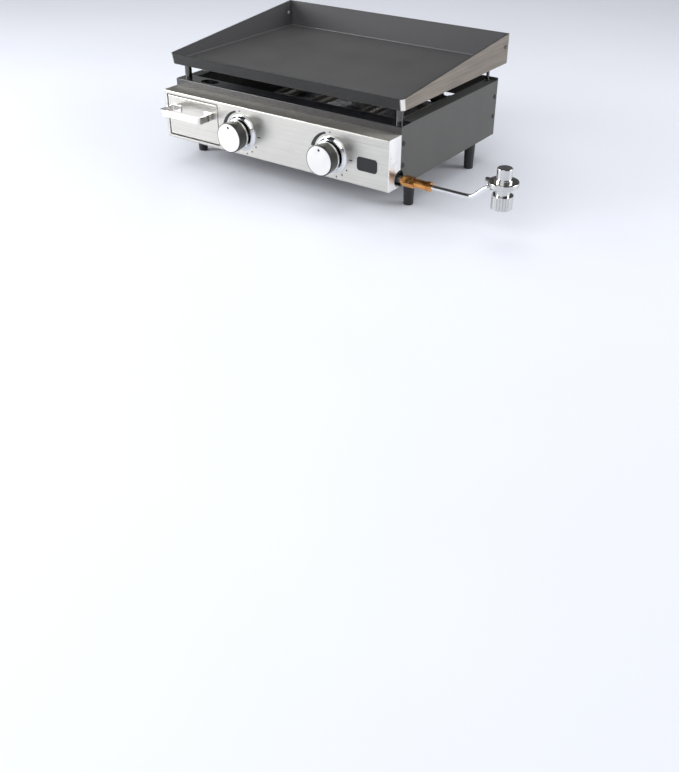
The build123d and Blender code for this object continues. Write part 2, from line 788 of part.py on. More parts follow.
def bezel(x):
    """A stepped chrome ring round the knob: flange, rounded shoulder, raised lip and recess."""
    shoulder = (bezel_radius + bezel_lip_radius) / 2
    step = (bezel_flange + bezel_lip) / 2
    recess = bezel_lip_radius - bezel_wall
    with BuildPart() as ring:
        with BuildSketch(Plane(origin=(x, 0, knob_height), x_dir=(1, 0, 0), z_dir=(0, 0, 1))):
            with BuildLine():
                Polyline(
                    (stem_hole_radius, ahead(0)),
                    (bezel_radius, ahead(0)),
                    (bezel_radius, ahead(bezel_flange / 2)),
                )
                RadiusArc((bezel_radius, ahead(bezel_flange / 2)), (shoulder, ahead(bezel_flange)),
                          -bezel_flange)
                Polyline((shoulder, ahead(bezel_flange)), (bezel_lip_radius, ahead(step)),
                         (bezel_lip_radius, ahead(bezel_lip - bezel_wall / 2)))
                ThreePointArc((bezel_lip_radius, ahead(bezel_lip - bezel_wall / 2)),
                              (bezel_lip_radius - bezel_wall / 2, ahead(bezel_lip)),
                              (recess, ahead(bezel_lip - bezel_wall / 2)))
                Polyline((recess, ahead(bezel_lip - bezel_wall / 2)), (recess, ahead(bezel_floor)),
                         (stem_hole_radius, ahead(bezel_floor)), (stem_hole_radius, ahead(0)))
            make_face()
        revolve(axis=Axis((x, 0, knob_height), (0, 1, 0)))
    return ring


def knob(x):
    """A hollow knob that widens towards its face, with a hub keyed to the stem."""
    face = knob_front - knob_cap_proud
    with BuildPart() as piece:
        for distance, radius in ((knob_back, knob_back_radius), (face, knob_front_radius)):
            with BuildSketch(Plane.XZ.offset(-ahead(distance))):
                with Locations((x, knob_height)):
                    Circle(radius)
        loft()
        fillet(edges().group_by(Axis.Y)[0], knob_edge)
        rod((x, ahead(face), knob_height), (x, ahead(face - knob_cap_sheet), knob_height), cap_radius + seat,
            mode=Mode.SUBTRACT)
        rod((x, ahead(knob_back), knob_height), (x, ahead(face - knob_cap_sheet - knob_wall), knob_height),
            knob_back_radius - knob_wall, mode=Mode.SUBTRACT)
        rod((x, ahead(knob_back), knob_height), (x, ahead(face - knob_cap_sheet), knob_height),
            knob_hub_radius)
        rod((x, ahead(knob_back), knob_height),
            (x, ahead(knob_front - knob_wall - knob_cap_sheet), knob_height), stem_radius + seat,
            mode=Mode.SUBTRACT)
        box_between((x - stem_radius, ahead(knob_front - knob_wall - 2 * knob_cap_sheet),
                     knob_height + stem_radius - stem_flat + seat),
                    (x + stem_radius, ahead(knob_back), knob_height + stem_radius + 2 * seat))
    return piece


def knob_ring(x):
    """A bright ring fixed to the knob's back edge."""
    with BuildPart() as ring:
        with BuildSketch(Plane.XZ.offset(-ahead(knob_back))):
            with Locations((x, knob_height)):
                Circle(knob_ring_radius)
                Circle(knob_ring_radius - knob_ring_width, mode=Mode.SUBTRACT)
        extrude(amount=-knob_ring_depth)
        rims = edges().filter_by(GeomType.CIRCLE).sort_by(SortBy.RADIUS)[-2:]
        fillet(rims, knob_ring_edge)
    return ring


def knob_cap(x):
    """A satin metal disc let into the knob's face, with a pointer dot sunk in it."""
    back = knob_front - knob_cap_proud - knob_cap_sheet
    with BuildPart() as cap:
        rod((x, ahead(back), knob_height), (x, ahead(knob_front), knob_height), cap_radius)
        fillet(edges().group_by(Axis.Y)[0], knob_cap_edge)
        rod((x, ahead(knob_front), knob_height + dot_offset), (x, ahead(knob_front - dot_depth),
            knob_height + dot_offset), dot_radius, mode=Mode.SUBTRACT)
    return cap


cap_radius = knob_front_radius - knob_cap_margin - knob_edge / 2
for name, x in knob_places.items():
    save(valve_body(x), f"valve_body_{name}")
    save(valve_plug(x), f"valve_plug_{name}")
    save(valve_stem(x), f"valve_stem_{name}")
    save(orifice(x), f"orifice_{name}")
    save(bezel(x), f"bezel_{name}")
    save(knob(x), f"knob_{name}")
    save(knob_ring(x), f"knob_ring_{name}")
    save(knob_cap(x), f"knob_cap_{name}")


# ---------------------------------------------------------------- burners
def burner(x):
    """An H of closed tubes, fed through a spigot at the front of its bar and drilled with ports."""
    spacing = burner_leg_spacing / 2
    spigot_end = burner_bar_y - burner_tube_radius - burner_spigot
    with BuildPart() as tubes:
        for trim, mode in ((0, Mode.ADD), (burner_sheet, Mode.SUBTRACT)):
            radius = burner_tube_radius - trim
            for leg_at in (x - spacing, x + spacing):
                rod((leg_at, burner_leg_front + trim, burner_height),
                    (leg_at, burner_leg_back - trim, burner_height), radius, mode=mode)
            rod((x - spacing, burner_bar_y, burner_height),
                (x + spacing, burner_bar_y, burner_height), radius,
                mode=mode)
            rod((x, burner_bar_y, burner_height), (x, spigot_end, burner_height),
                venturi_radius - burner_sheet - seat - trim, mode=mode)
        count = int((burner_leg_back - burner_leg_front - 2 * port_margin) / port_pitch) + 1
        for leg_at in (x - spacing, x + spacing):
            for index in range(count):
                y = burner_leg_front + port_margin + index * port_pitch
                rod((leg_at - burner_tube_radius, y, burner_height + port_lift),
                    (leg_at + burner_tube_radius, y, burner_height + port_lift), port_radius,
                    mode=Mode.SUBTRACT)
    return tubes


def venturi(x):
    """A mixing tube from the orifice up to the burner's bar, with a flared mouth."""
    start = valve_back + orifice_hex_length + orifice_tip_length + venturi_gap
    low_end = start + venturi_low_run
    high_start = low_end + venturi_rise_run
    end = burner_bar_y - burner_tube_radius - seat
    points = [(x, start + venturi_mouth_length, knob_height), (x, low_end, knob_height),
              (x, high_start, burner_height), (x, end, burner_height)]
    with BuildPart() as tube:
        with BuildLine() as route:
            FilletPolyline(*points, radius=venturi_bend)
        with BuildSketch(Plane(origin=points[0], z_dir=(0, 1, 0))):
            Circle(venturi_radius)
            Circle(venturi_radius - burner_sheet, mode=Mode.SUBTRACT)
        sweep(path=route.wires()[0])
        with BuildSketch(Plane(origin=(x, 0, knob_height), x_dir=(1, 0, 0), z_dir=(0, 0, 1))):
            with BuildLine():
                Polyline(
                    (venturi_mouth_radius, start),
                    (venturi_radius, start + venturi_mouth_length),
                    (venturi_radius - burner_sheet, start + venturi_mouth_length),
                    (venturi_mouth_radius - burner_sheet, start),
                    close=True,
                )
            make_face()
        revolve(axis=Axis((x, 0, knob_height), (0, 1, 0)))
    return tube


def igniter(x):
    """A ceramic electrode that stands beside the burner's leg."""
    at = x - burner_leg_spacing / 2 + igniter_offset_x
    with BuildPart() as electrode:
        rod((at, igniter_y, reflector_top), (at, igniter_y, reflector_top + igniter_height), igniter_radius)
        fillet(edges().group_by(Axis.Z)[-1], igniter_edge)
        rod((at, igniter_y, reflector_top + igniter_height - igniter_seat),
            (at, igniter_y, reflector_top + igniter_height + igniter_rod), igniter_rod_radius)
    return electrode


for name, x in knob_places.items():
    save(burner(x), f"burner_{name}")
    save(venturi(x), f"venturi_{name}")
    save(igniter(x), f"igniter_{name}")

# Carry-over tube that lights the second burner from the first.
with BuildPart() as crossover_tube:
    reach = burner_leg_spacing / 2 + burner_tube_radius + seat
    start = (knob_x_left + reach, burner_bar_y, crossover_height)
    end = (knob_x_right - reach, burner_bar_y, crossover_height)
    rod(start, end, crossover_radius)
    rod(start, end, crossover_radius - burner_sheet, mode=Mode.SUBTRACT)
save(crossover_tube, "crossover_tube")

# Angle across the firebox that the burners' rear ends lie on.
with BuildPart() as burner_rest:
    rest_half = reflector_half - rest_inset
    rest_top = burner_height - burner_tube_radius - seat
    box_between((-rest_half, rest_y, rest_top - frame_sheet), (rest_half, rest_y + rest_depth, rest_top))
    box_between((-rest_half, rest_y, reflector_top), (rest_half, rest_y + frame_sheet, rest_top))
save(burner_rest, "burner_rest")


# ---------------------------------------------------------------- gas inlet fittings
def fluted_disc(plane, radius, length, count, depth):
    """A short round grip whose rim is cut with shallow flutes."""
    with BuildSketch(plane) as section:
        Circle(radius)
        with PolarLocations(radius, count):
            Circle(depth, mode=Mode.SUBTRACT)
    extrude(section.sketch, amount=length)


nut_start = body_half + inlet_nut_start
hex_start = nut_start + inlet_ring
sleeve_start = hex_start + inlet_nut_length
collar_start = sleeve_start + inlet_sleeve_length
collar_end = collar_start + inlet_collar_length


def across(x):
    """A plane square to the gas line at a position along it."""
    return Plane(origin=(x, inlet_y, inlet_height), x_dir=(0, 1, 0), z_dir=(1, 0, 0))


with BuildPart() as inlet_nut:
    rod((nut_start, inlet_y, inlet_height), (hex_start, inlet_y, inlet_height), inlet_ring_radius)
    with BuildSketch(across(hex_start)):
        RegularPolygon(inlet_nut_hex / 2, 6, major_radius=False)
    extrude(amount=inlet_nut_length)
    chamfer(edges().group_by(Axis.X)[-1], fitting_edge)
    rod((nut_start, inlet_y, inlet_height), (sleeve_start, inlet_y, inlet_height), nipple_radius + seat,
        mode=Mode.SUBTRACT)
save(inlet_nut, "inlet_nut")

with BuildPart() as inlet_sleeve:
    rod((sleeve_start, inlet_y, inlet_height), (collar_start, inlet_y, inlet_height), inlet_sleeve_radius)
    chamfer(edges().group_by(Axis.X)[0], fitting_edge)
    rod((sleeve_start, inlet_y, inlet_height), (collar_start, inlet_y, inlet_height), tube_radius + seat,
        mode=Mode.SUBTRACT)
save(inlet_sleeve, "inlet_sleeve")

with BuildPart() as inlet_collar:
    fluted_disc(across(collar_start), inlet_collar_radius, inlet_collar_length, flute_count, flute_depth)
    rod((collar_start, inlet_y, inlet_height), (collar_end, inlet_y, inlet_height), tube_radius + seat,
        mode=Mode.SUBTRACT)
save(inlet_collar, "inlet_collar")

# ---------------------------------------------------------------- gas line and regulator
boss_start = regulator_x - regulator_neck_radius - regulator_boss_reach
tube_nut_start = boss_start - tube_nut_length
with BuildPart() as gas_tube:
    route_points = [
        (collar_start - tube_seat, inlet_y, inlet_height),
        (tube_bend_x, inlet_y, inlet_height),
        (tube_rise_x, inlet_y, regulator_inlet_height),
        (boss_start - seat, inlet_y, regulator_inlet_height),
    ]
    with BuildLine() as route:
        FilletPolyline(*route_points, radius=[tube_first_bend, tube_second_bend])
    with BuildSketch(across(collar_start - tube_seat)):
        Circle(tube_radius)
        Circle(tube_bore, mode=Mode.SUBTRACT)
    sweep(path=route.wires()[0])
save(gas_tube, "gas_tube")


def at_regulator(height):
    """A level plane on the regulator's axis."""
    return Plane(origin=(regulator_x, inlet_y, height))


with BuildPart() as tube_nut:
    with BuildSketch(Plane(origin=(tube_nut_start, inlet_y, regulator_inlet_height), x_dir=(0, 1, 0),
                           z_dir=(1, 0, 0))):
        RegularPolygon(tube_nut_hex / 2, 6, major_radius=False)
        Circle(tube_radius + seat, mode=Mode.SUBTRACT)
    extrude(amount=tube_nut_length - seat)
save(tube_nut, "tube_nut")

case_middle = regulator_neck_top + regulator_case_half
coupling_top = regulator_neck_bottom - slip
relief_start = coupling_bottom + coupling_thread_length
relief_end = relief_start + coupling_relief
with BuildPart() as regulator_body:
    rod((regulator_x, inlet_y, regulator_neck_top), (regulator_x, inlet_y, case_middle),
        regulator_case_radius)
    fillet(edges().group_by(Axis.Z)[0], regulator_case_edge)
    rod((regulator_x, inlet_y, regulator_neck_bottom), (regulator_x, inlet_y, regulator_neck_top),
        regulator_neck_radius)
    flange_low = relief_start + slip
    rod((regulator_x, inlet_y, flange_low), (regulator_x, inlet_y, regulator_neck_bottom), spigot_radius)
    rod((regulator_x, inlet_y, flange_low), (regulator_x, inlet_y, flange_low + spigot_flange),
        spigot_flange_radius)
    rod((boss_start, inlet_y, regulator_inlet_height), (regulator_x, inlet_y, regulator_inlet_height),
        regulator_boss_radius)
    rod((boss_start, inlet_y, regulator_inlet_height), (regulator_x, inlet_y, regulator_inlet_height),
        tube_bore, mode=Mode.SUBTRACT)
    rod((regulator_x, inlet_y, relief_start), (regulator_x, inlet_y, regulator_inlet_height), tube_bore,
        mode=Mode.SUBTRACT)
    rod((regulator_x - regulator_case_radius, inlet_y, vent_plug_height),
        (regulator_x - regulator_case_radius + vent_plug_stub_length + seat, inlet_y, vent_plug_height),
        vent_plug_stub_radius + seat, mode=Mode.SUBTRACT)
save(regulator_body, "regulator_body")

with BuildPart() as regulator_bonnet:
    rod((regulator_x, inlet_y, case_middle + seat),
        (regulator_x, inlet_y, case_middle + regulator_case_half), regulator_case_radius)
    fillet(edges().group_by(Axis.Z)[-1], regulator_case_edge)
    rod((regulator_x, inlet_y, case_middle + regulator_case_half),
        (regulator_x, inlet_y, case_middle + regulator_case_half + regulator_bonnet_foot_height),
        regulator_bonnet_foot)
    rod((regulator_x, inlet_y, case_middle + regulator_case_half),
        (regulator_x, inlet_y, regulator_bonnet_top), regulator_bonnet_radius)
    fillet(edges().group_by(Axis.Z)[-1], regulator_case_edge)
save(regulator_bonnet, "regulator_bonnet")

with BuildPart() as vent_plug:
    plug_end = regulator_x - regulator_case_radius - seat
    rod((plug_end - vent_plug_length, inlet_y, vent_plug_height), (plug_end, inlet_y, vent_plug_height),
        vent_plug_radius)
    fillet(edges().group_by(Axis.X)[0], vent_plug_edge)
    rod((plug_end, inlet_y, vent_plug_height), (plug_end + vent_plug_stub_length, inlet_y, vent_plug_height),
        vent_plug_stub_radius)
save(vent_plug, "vent_plug")

# Captive nut that screws onto the neck of a small gas cylinder and turns on the regulator's spigot.
with BuildPart() as coupling_nut:
    fluted_disc(at_regulator(coupling_bottom), coupling_radius, coupling_top - coupling_bottom,
                coupling_flutes, coupling_flute_depth)
    rod((regulator_x, inlet_y, coupling_bottom), (regulator_x, inlet_y, relief_start),
        coupling_thread_radius, mode=Mode.SUBTRACT)
    rod((regulator_x, inlet_y, relief_start), (regulator_x, inlet_y, relief_end), coupling_relief_radius,
        mode=Mode.SUBTRACT)
    rod((regulator_x, inlet_y, relief_end), (regulator_x, inlet_y, coupling_top), spigot_radius + slip,
        mode=Mode.SUBTRACT)
save(coupling_nut, "coupling_nut")
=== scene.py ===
# %% [markdown]
# # A two-burner table-top griddle
#
# The object is a gas griddle that stands on a table: a steel pan with a tall back wall, a black
# sheet-metal cabinet, a stainless control panel with two knobs, a grease drawer on the left, and a
# gas line on the right that ends in a regulator. Every sheet, tube and knob arrives as a finished
# solid. The work here is what the eye reads as metal, coating, plastic and brass, and the few
# details that are too thin to be parts of their own: printed marks, the paint in the pointer dots
# and the bead round the pan's floor.

# %% Load the frame
import math

import bmesh
import bpy
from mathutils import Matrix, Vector


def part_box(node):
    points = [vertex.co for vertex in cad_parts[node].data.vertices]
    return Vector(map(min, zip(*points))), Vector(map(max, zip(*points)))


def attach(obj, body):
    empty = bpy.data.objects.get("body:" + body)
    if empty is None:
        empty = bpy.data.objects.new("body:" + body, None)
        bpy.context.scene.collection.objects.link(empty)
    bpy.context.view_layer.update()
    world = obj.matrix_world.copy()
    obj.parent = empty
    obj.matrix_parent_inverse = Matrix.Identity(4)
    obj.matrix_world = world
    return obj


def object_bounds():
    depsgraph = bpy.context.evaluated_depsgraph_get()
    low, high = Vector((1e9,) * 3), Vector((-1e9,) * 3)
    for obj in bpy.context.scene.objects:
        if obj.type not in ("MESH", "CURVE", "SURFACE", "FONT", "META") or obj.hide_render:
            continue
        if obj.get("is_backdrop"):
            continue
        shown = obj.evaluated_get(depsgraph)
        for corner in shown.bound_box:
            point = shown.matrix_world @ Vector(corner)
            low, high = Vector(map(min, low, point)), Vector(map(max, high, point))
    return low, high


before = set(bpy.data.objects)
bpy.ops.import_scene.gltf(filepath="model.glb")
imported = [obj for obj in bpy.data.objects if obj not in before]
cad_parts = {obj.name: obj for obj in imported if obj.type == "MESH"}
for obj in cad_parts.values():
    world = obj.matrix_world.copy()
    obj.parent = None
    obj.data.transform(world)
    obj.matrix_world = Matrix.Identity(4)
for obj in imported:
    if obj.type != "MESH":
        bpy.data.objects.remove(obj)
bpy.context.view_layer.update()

# %% [markdown]
# ## Camera
#
# A product picture is taken with a slightly long lens from above eye level. The camera stands to
# the right of the griddle and looks down past it, so that a good deal of the table top shows in
# front. Azimuth and height are angles round the point it looks at, which is easier to think about
# than a location.

# %% Camera
camera_azimuth = math.radians(35.37)
camera_elevation = math.radians(33.61)
camera_distance = 2.3543
camera_lens = 43.4
camera_target = Vector((-0.0012, 0.0044, -0.6028))
camera_back = Vector((
    math.sin(camera_azimuth) * math.cos(camera_elevation),
    -math.cos(camera_azimuth) * math.cos(camera_elevation),
    math.sin(camera_elevation),
))
camera = bpy.data.objects.new("camera", bpy.data.cameras.new("camera"))
camera.data.lens = camera_lens
camera.location = camera_target + camera_back * camera_distance
camera.rotation_mode = "QUATERNION"
camera.rotation_quaternion = (-camera_back).to_track_quat("-Z", "Y")
bpy.context.scene.collection.objects.link(camera)
bpy.context.scene.camera = camera
print("camera at", [round(v, 3) for v in camera.location])

# %% [markdown]
# ## Colours, nodes and patterns
#
# A few small helpers carry every finish. `linear` turns a colour as a screen shows it into the
# linear values that light is added up in. `fill` sets or links the inputs of a node. `add` makes
# one shader node with its settings and its links, and gives back the output that the next node
# needs. `cells` says how many pattern cells fit in a metre when one cell is a given number of
# millimetres, so that every pattern is drawn at its real size. `start_finish` opens a new material
# and `dress` puts it on the pieces.

# %% Helpers for finishes
MM = 0.001


def linear(hex_colour):
    """The linear RGBA of an sRGB hex colour."""
    parts = [int(hex_colour[i:i + 2], 16) / 255 for i in (1, 3, 5)]
    rgb = [p / 12.92 if p <= 0.04045 else ((p + 0.055) / 1.055) ** 2.4 for p in parts]
    return (*rgb, 1.0)


def fill(node, inputs):
    """Fills a node's inputs: a socket is linked, and anything else is set."""
    for name, value in inputs.items():
        if isinstance(value, bpy.types.NodeSocket):
            node.id_data.links.new(value, node.inputs[name])
        else:
            node.inputs[name].default_value = value


def add(tree, kind, inputs=None, output=0, **settings):
    """One node with its settings and links; gives one of its outputs, by name or number."""
    made = tree.nodes.new(kind)
    for name, value in settings.items():
        setattr(made, name, value)
    fill(made, inputs or {})
    return made.outputs[output]


def cells(*millimetres):
    """Pattern cells in a metre, for cells of these sizes."""
    counts = tuple(1 / (size * MM) for size in millimetres)
    return counts if len(counts) > 1 else counts[0]


def start_finish(name, colour, metallic, roughness):
    """A new material, its node tree, its shader and the object's coordinates."""
    material = bpy.data.materials.new(name)
    material.use_nodes = True
    tree = material.node_tree
    shader = tree.nodes["Principled BSDF"]
    fill(shader, {"Base Color": linear(colour), "Metallic": metallic, "Roughness": roughness})
    return material, tree, shader, add(tree, "ShaderNodeTexCoord", output="Object")


def dress(material, *nodes):
    """Puts a finish on CAD nodes, in every material slot that they have."""
    for name in nodes:
        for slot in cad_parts[name].material_slots:
            slot.material = material
    print(material.name, "on", len(nodes), "nodes")


SIDES = ("left", "right")
print("a pattern with cells of 2 mm repeats", round(cells(2)), "times in a metre")

# %% [markdown]
# ## The pan: sprayed coat on rolled steel
#
# The pan is rolled steel plate, pressed and welded, then sprayed with a dark non-stick coat inside
# and in front. A sprayed coat dries with a fine skin like orange peel, so its sheen is broad and
# soft, and it drifts a little from place to place. It is a little paler on the walls than on the
# floor. The lip in front is near-black: a painted shade, standing in for the dark reflection that
# the front faces show. The outer faces of the side walls are left bare: they show the warm grey of
# rolled steel with drawing lines along them, and their rounded front corners are painted
# near-white, a painted highlight. On the cut top edges the metal shines through. It is all one
# piece, so one material holds it, and the place and the direction of the surface choose the zone.

# %% Sprayed coat, shared by the pan and the sheet at its back
plate_low, plate_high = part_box("griddle_plate")
WALL = 2.5 * MM
RIM_HEIGHT = 13 * MM


def sprayed_coat(name):
    """Dark coat with bright cut edges; gives the material's parts and its sockets so far."""
    material, tree, shader, coords = start_finish(name, "#3d3d3f", 0.0, 0.44)
    peel = add(tree, "ShaderNodeTexNoise", {"Vector": coords, "Scale": cells(1.6)})
    bloom = add(tree, "ShaderNodeTexNoise", {"Vector": coords, "Scale": cells(90), "Detail": 3.0})
    normal = coords.node.outputs["Normal"]
    facing = add(tree, "ShaderNodeSeparateXYZ", {"Vector": normal}).node.outputs
    place = add(tree, "ShaderNodeSeparateXYZ", {"Vector": coords}).node.outputs
    upward = add(tree, "ShaderNodeMapRange", {"Value": facing["Z"], "From Min": 0.85,
                                              "From Max": 0.95})
    high = add(tree, "ShaderNodeMapRange", {"Value": place["Z"],
                                            "From Min": plate_low.z + RIM_HEIGHT - MM,
                                            "From Max": plate_low.z + RIM_HEIGHT + MM})
    rim = add(tree, "ShaderNodeMath", {0: upward, 1: high}, operation="MULTIPLY")
    floor = add(tree, "ShaderNodeMix", {0: bloom, 6: linear("#444445"), 7: linear("#545454")}, 2,
                data_type="RGBA")
    level = add(tree, "ShaderNodeMapRange", {"Value": facing["Z"], "From Min": 0.3,
                                             "From Max": 0.7})
    coat = add(tree, "ShaderNodeMix", {0: level, 6: linear("#505052"), 7: floor}, 2,
               data_type="RGBA")
    colour = add(tree, "ShaderNodeMix", {0: rim, 6: coat, 7: linear("#9a9894")}, 2,
                 data_type="RGBA")
    gloss = add(tree, "ShaderNodeMapRange", {"Value": bloom, "From Min": 0.3, "From Max": 0.7,
                                             "To Min": 0.42, "To Max": 0.48})
    rough = add(tree, "ShaderNodeMix", {0: rim, 2: gloss, 3: 0.34})
    skin = add(tree, "ShaderNodeBump", {"Height": peel, "Distance": 0.04 * MM, "Strength": 0.6})
    fill(shader, {"Base Color": colour, "Roughness": rough, "Metallic": rim, "Normal": skin})
    return material, tree, shader, coords, facing, place, rim, colour, rough


splash_coat = sprayed_coat("coated_steel_sheet")[0]
dress(splash_coat, "back_splash")

# %% Bare rolled steel on the pan's outer side walls
material, tree, shader, coords, facing, place, rim, colour, rough = sprayed_coat(
    "coated_rolled_steel_plate")

# The lip in front is where the surface faces the cook, close to the pan's front edge. There the
# coat is painted near-black: a painted shade for the lip's dark reflection.
to_cook = add(tree, "ShaderNodeMapRange", {"Value": facing["Y"], "From Min": -0.65,
                                           "From Max": -0.95})
at_front = add(tree, "ShaderNodeMapRange", {"Value": place["Y"], "From Min": plate_low.y + 4 * WALL,
                                            "From Max": plate_low.y + 2 * WALL})
lip_shade_mask = add(tree, "ShaderNodeMath", {0: to_cook, 1: at_front}, operation="MULTIPLY")
coat_with_painted_lip_shade = add(tree, "ShaderNodeMix", {0: lip_shade_mask, 6: colour, 7: linear("#0f0e0e")}, 2,
          data_type="RGBA")

# A face is an outer one where its normal and its place point the same way along X.
outward = add(tree, "ShaderNodeMath", {0: facing["X"], 1: place["X"]}, operation="MULTIPLY")
turned = add(tree, "ShaderNodeMapRange", {"Value": outward, "From Min": 0.2 * plate_high.x,
                                          "From Max": 0.5 * plate_high.x})
reach = add(tree, "ShaderNodeMath", {0: place["X"]}, operation="ABSOLUTE")
# This band at each side holds the wall and the rounded corner in front of it.
at_side = add(tree, "ShaderNodeMapRange", {"Value": reach, "From Min": plate_high.x - 5.25 * WALL,
                                           "From Max": plate_high.x - 4.75 * WALL})
outside = add(tree, "ShaderNodeMath", {0: turned, 1: at_side}, operation="MULTIPLY")

along = add(tree, "ShaderNodeMapping", {"Vector": coords, "Scale": cells(1.1, 140, 1.1)})
drawn = add(tree, "ShaderNodeTexNoise", {"Vector": along, "Scale": 1.0, "Detail": 4.0})
around = add(tree, "ShaderNodeMapping", {"Vector": coords, "Scale": cells(30, 70, 18)})
smoke = add(tree, "ShaderNodeTexNoise", {"Vector": around, "Scale": 1.0, "Detail": 4.0})
clouds = add(tree, "ShaderNodeMapRange", {"Value": smoke, "From Min": 0.3, "From Max": 0.7})
lines = add(tree, "ShaderNodeMapRange", {"Value": drawn, "From Min": 0.3, "From Max": 0.7})
warm = add(tree, "ShaderNodeMix", {0: clouds, 6: linear("#6b645c"), 7: linear("#857d73")}, 2,
           data_type="RGBA")
bare = add(tree, "ShaderNodeMix", {0: lines, 6: warm, 7: linear("#9b9287")}, 2, data_type="RGBA")

# The rounded front corners are painted near-white: a painted highlight on the bent corners.
corner_highlight_mask = add(tree, "ShaderNodeMapRange", {"Value": facing["Y"], "From Min": -0.05,
                                            "From Max": -0.35})
bare_with_painted_corner_highlight = add(tree, "ShaderNodeMix", {0: corner_highlight_mask, 6: bare, 7: linear("#efebe6")}, 2,
             data_type="RGBA")
zoned = add(tree, "ShaderNodeMix", {0: outside, 6: coat_with_painted_lip_shade, 7: bare_with_painted_corner_highlight}, 2, data_type="RGBA")
streaks = add(tree, "ShaderNodeMapRange", {"Value": drawn, "To Min": 0.3, "To Max": 0.48})
zoned_rough = add(tree, "ShaderNodeMix", {0: outside, 2: rough, 3: streaks})
metal = add(tree, "ShaderNodeMath", {0: rim, 1: outside}, operation="MAXIMUM")
fill(shader, {"Base Color": zoned, "Roughness": zoned_rough, "Metallic": metal})
dress(material, "griddle_plate")

# %% [markdown]
# ## The cabinet: powder coat and black enamel
#
# The side and back walls are folded sheet with a textured dark grey powder coat. Powder melts into
# a surface with small soft lumps, which scatter the light, so the walls look even and quiet. The
# ledge and the parts by the fire have a smooth black stove enamel instead. Enamel is baked
# glass-hard, so it is nearly a mirror at low angles, with only a slow ripple and a little dust in
# it.

# %% Powder coat
material, tree, shader, coords = start_finish("grey_powder_coat", "#4e4e4b", 0.0, 0.55)
lumps = add(tree, "ShaderNodeTexNoise", {"Vector": coords, "Scale": cells(0.8), "Detail": 3.0})
patches = add(tree, "ShaderNodeTexNoise", {"Vector": coords, "Scale": cells(70)})
colour = add(tree, "ShaderNodeMix", {0: patches, 6: linear("#494947"), 7: linear("#535350")}, 2,
             data_type="RGBA")
rough = add(tree, "ShaderNodeMapRange", {"Value": lumps, "To Min": 0.48, "To Max": 0.66})
skin = add(tree, "ShaderNodeBump", {"Height": lumps, "Distance": 0.06 * MM, "Strength": 0.7})
fill(shader, {"Base Color": colour, "Roughness": rough, "Normal": skin})
dress(material, "side_panel_left", "side_panel_right", "back_panel")

# %% Stove enamel
material, tree, shader, coords = start_finish("black_stove_enamel", "#17181b", 0.0, 0.24)
ripple = add(tree, "ShaderNodeTexNoise", {"Vector": coords, "Scale": cells(40)})
dust = add(tree, "ShaderNodeTexNoise", {"Vector": coords, "Scale": cells(2.5), "Detail": 4.0})
colour = add(tree, "ShaderNodeMix", {0: dust, 6: linear("#15161a"), 7: linear("#1d1e22")}, 2,
             data_type="RGBA")
rough = add(tree, "ShaderNodeMapRange", {"Value": dust, "To Min": 0.2, "To Max": 0.3})
skin = add(tree, "ShaderNodeBump", {"Height": ripple, "Distance": 0.1 * MM, "Strength": 0.3})
fill(shader, {"Base Color": colour, "Roughness": rough, "Normal": skin,
              "Coat Weight": 0.5, "Coat Roughness": 0.12})
dress(material, "front_ledge", "firebox_wall", "floor_pan")

# %% [markdown]
# ## Brushed stainless steel
#
# The control panel and the drawer front are stainless sheet, brushed along its length with an
# abrasive belt. The real lines are a few hundredths of a millimetre apart, too fine to show, so
# they are drawn about a millimetre wide. The roughness varies from line to line, a faint relief
# follows them, and the shader's own anisotropy spreads each highlight across them. On the folds
# above and below, which are seen at a low angle, the lines run together, so the relief is left out
# there and a pale colour paints a broad sheen in its place. The folded ends at the sides are
# painted near-white, a painted highlight.

# %% Brushed stainless steel
material, tree, shader, coords = start_finish("brushed_stainless_sheet", "#cfccc6", 1.0, 0.3)
along = add(tree, "ShaderNodeMapping", {"Vector": coords, "Scale": cells(400, 1.1, 1.1)})
lines = add(tree, "ShaderNodeTexNoise", {"Vector": along, "Scale": 1.0, "Detail": 3.0})
wide = add(tree, "ShaderNodeMapping", {"Vector": coords, "Scale": cells(120, 40, 22)})
smears = add(tree, "ShaderNodeTexNoise", {"Vector": wide, "Scale": 1.0, "Detail": 4.0})
normal = coords.node.outputs["Normal"]
facing = add(tree, "ShaderNodeSeparateXYZ", {"Vector": normal}).node.outputs
tilt = add(tree, "ShaderNodeMath", {0: facing["Z"]}, operation="ABSOLUTE")
upright = add(tree, "ShaderNodeMapRange", {"Value": tilt, "From Min": 0.9, "From Max": 0.5})
face = add(tree, "ShaderNodeMix", {0: smears, 6: linear("#c1bfb9"), 7: linear("#dad8d2")}, 2,
           data_type="RGBA")
dark_lines = add(tree, "ShaderNodeMapRange", {"Value": lines, "From Min": 0.4, "From Max": 0.75,
                                              "To Max": 0.25})
brushed = add(tree, "ShaderNodeMix", {0: dark_lines, 6: face, 7: linear("#8f8d88")}, 2,
              data_type="RGBA")
# The folds above and below get a pale colour: a painted sheen.
brushed_with_painted_fold_sheen = add(tree, "ShaderNodeMix", {0: upright, 6: linear("#fbf8f1"), 7: brushed}, 2,
             data_type="RGBA")
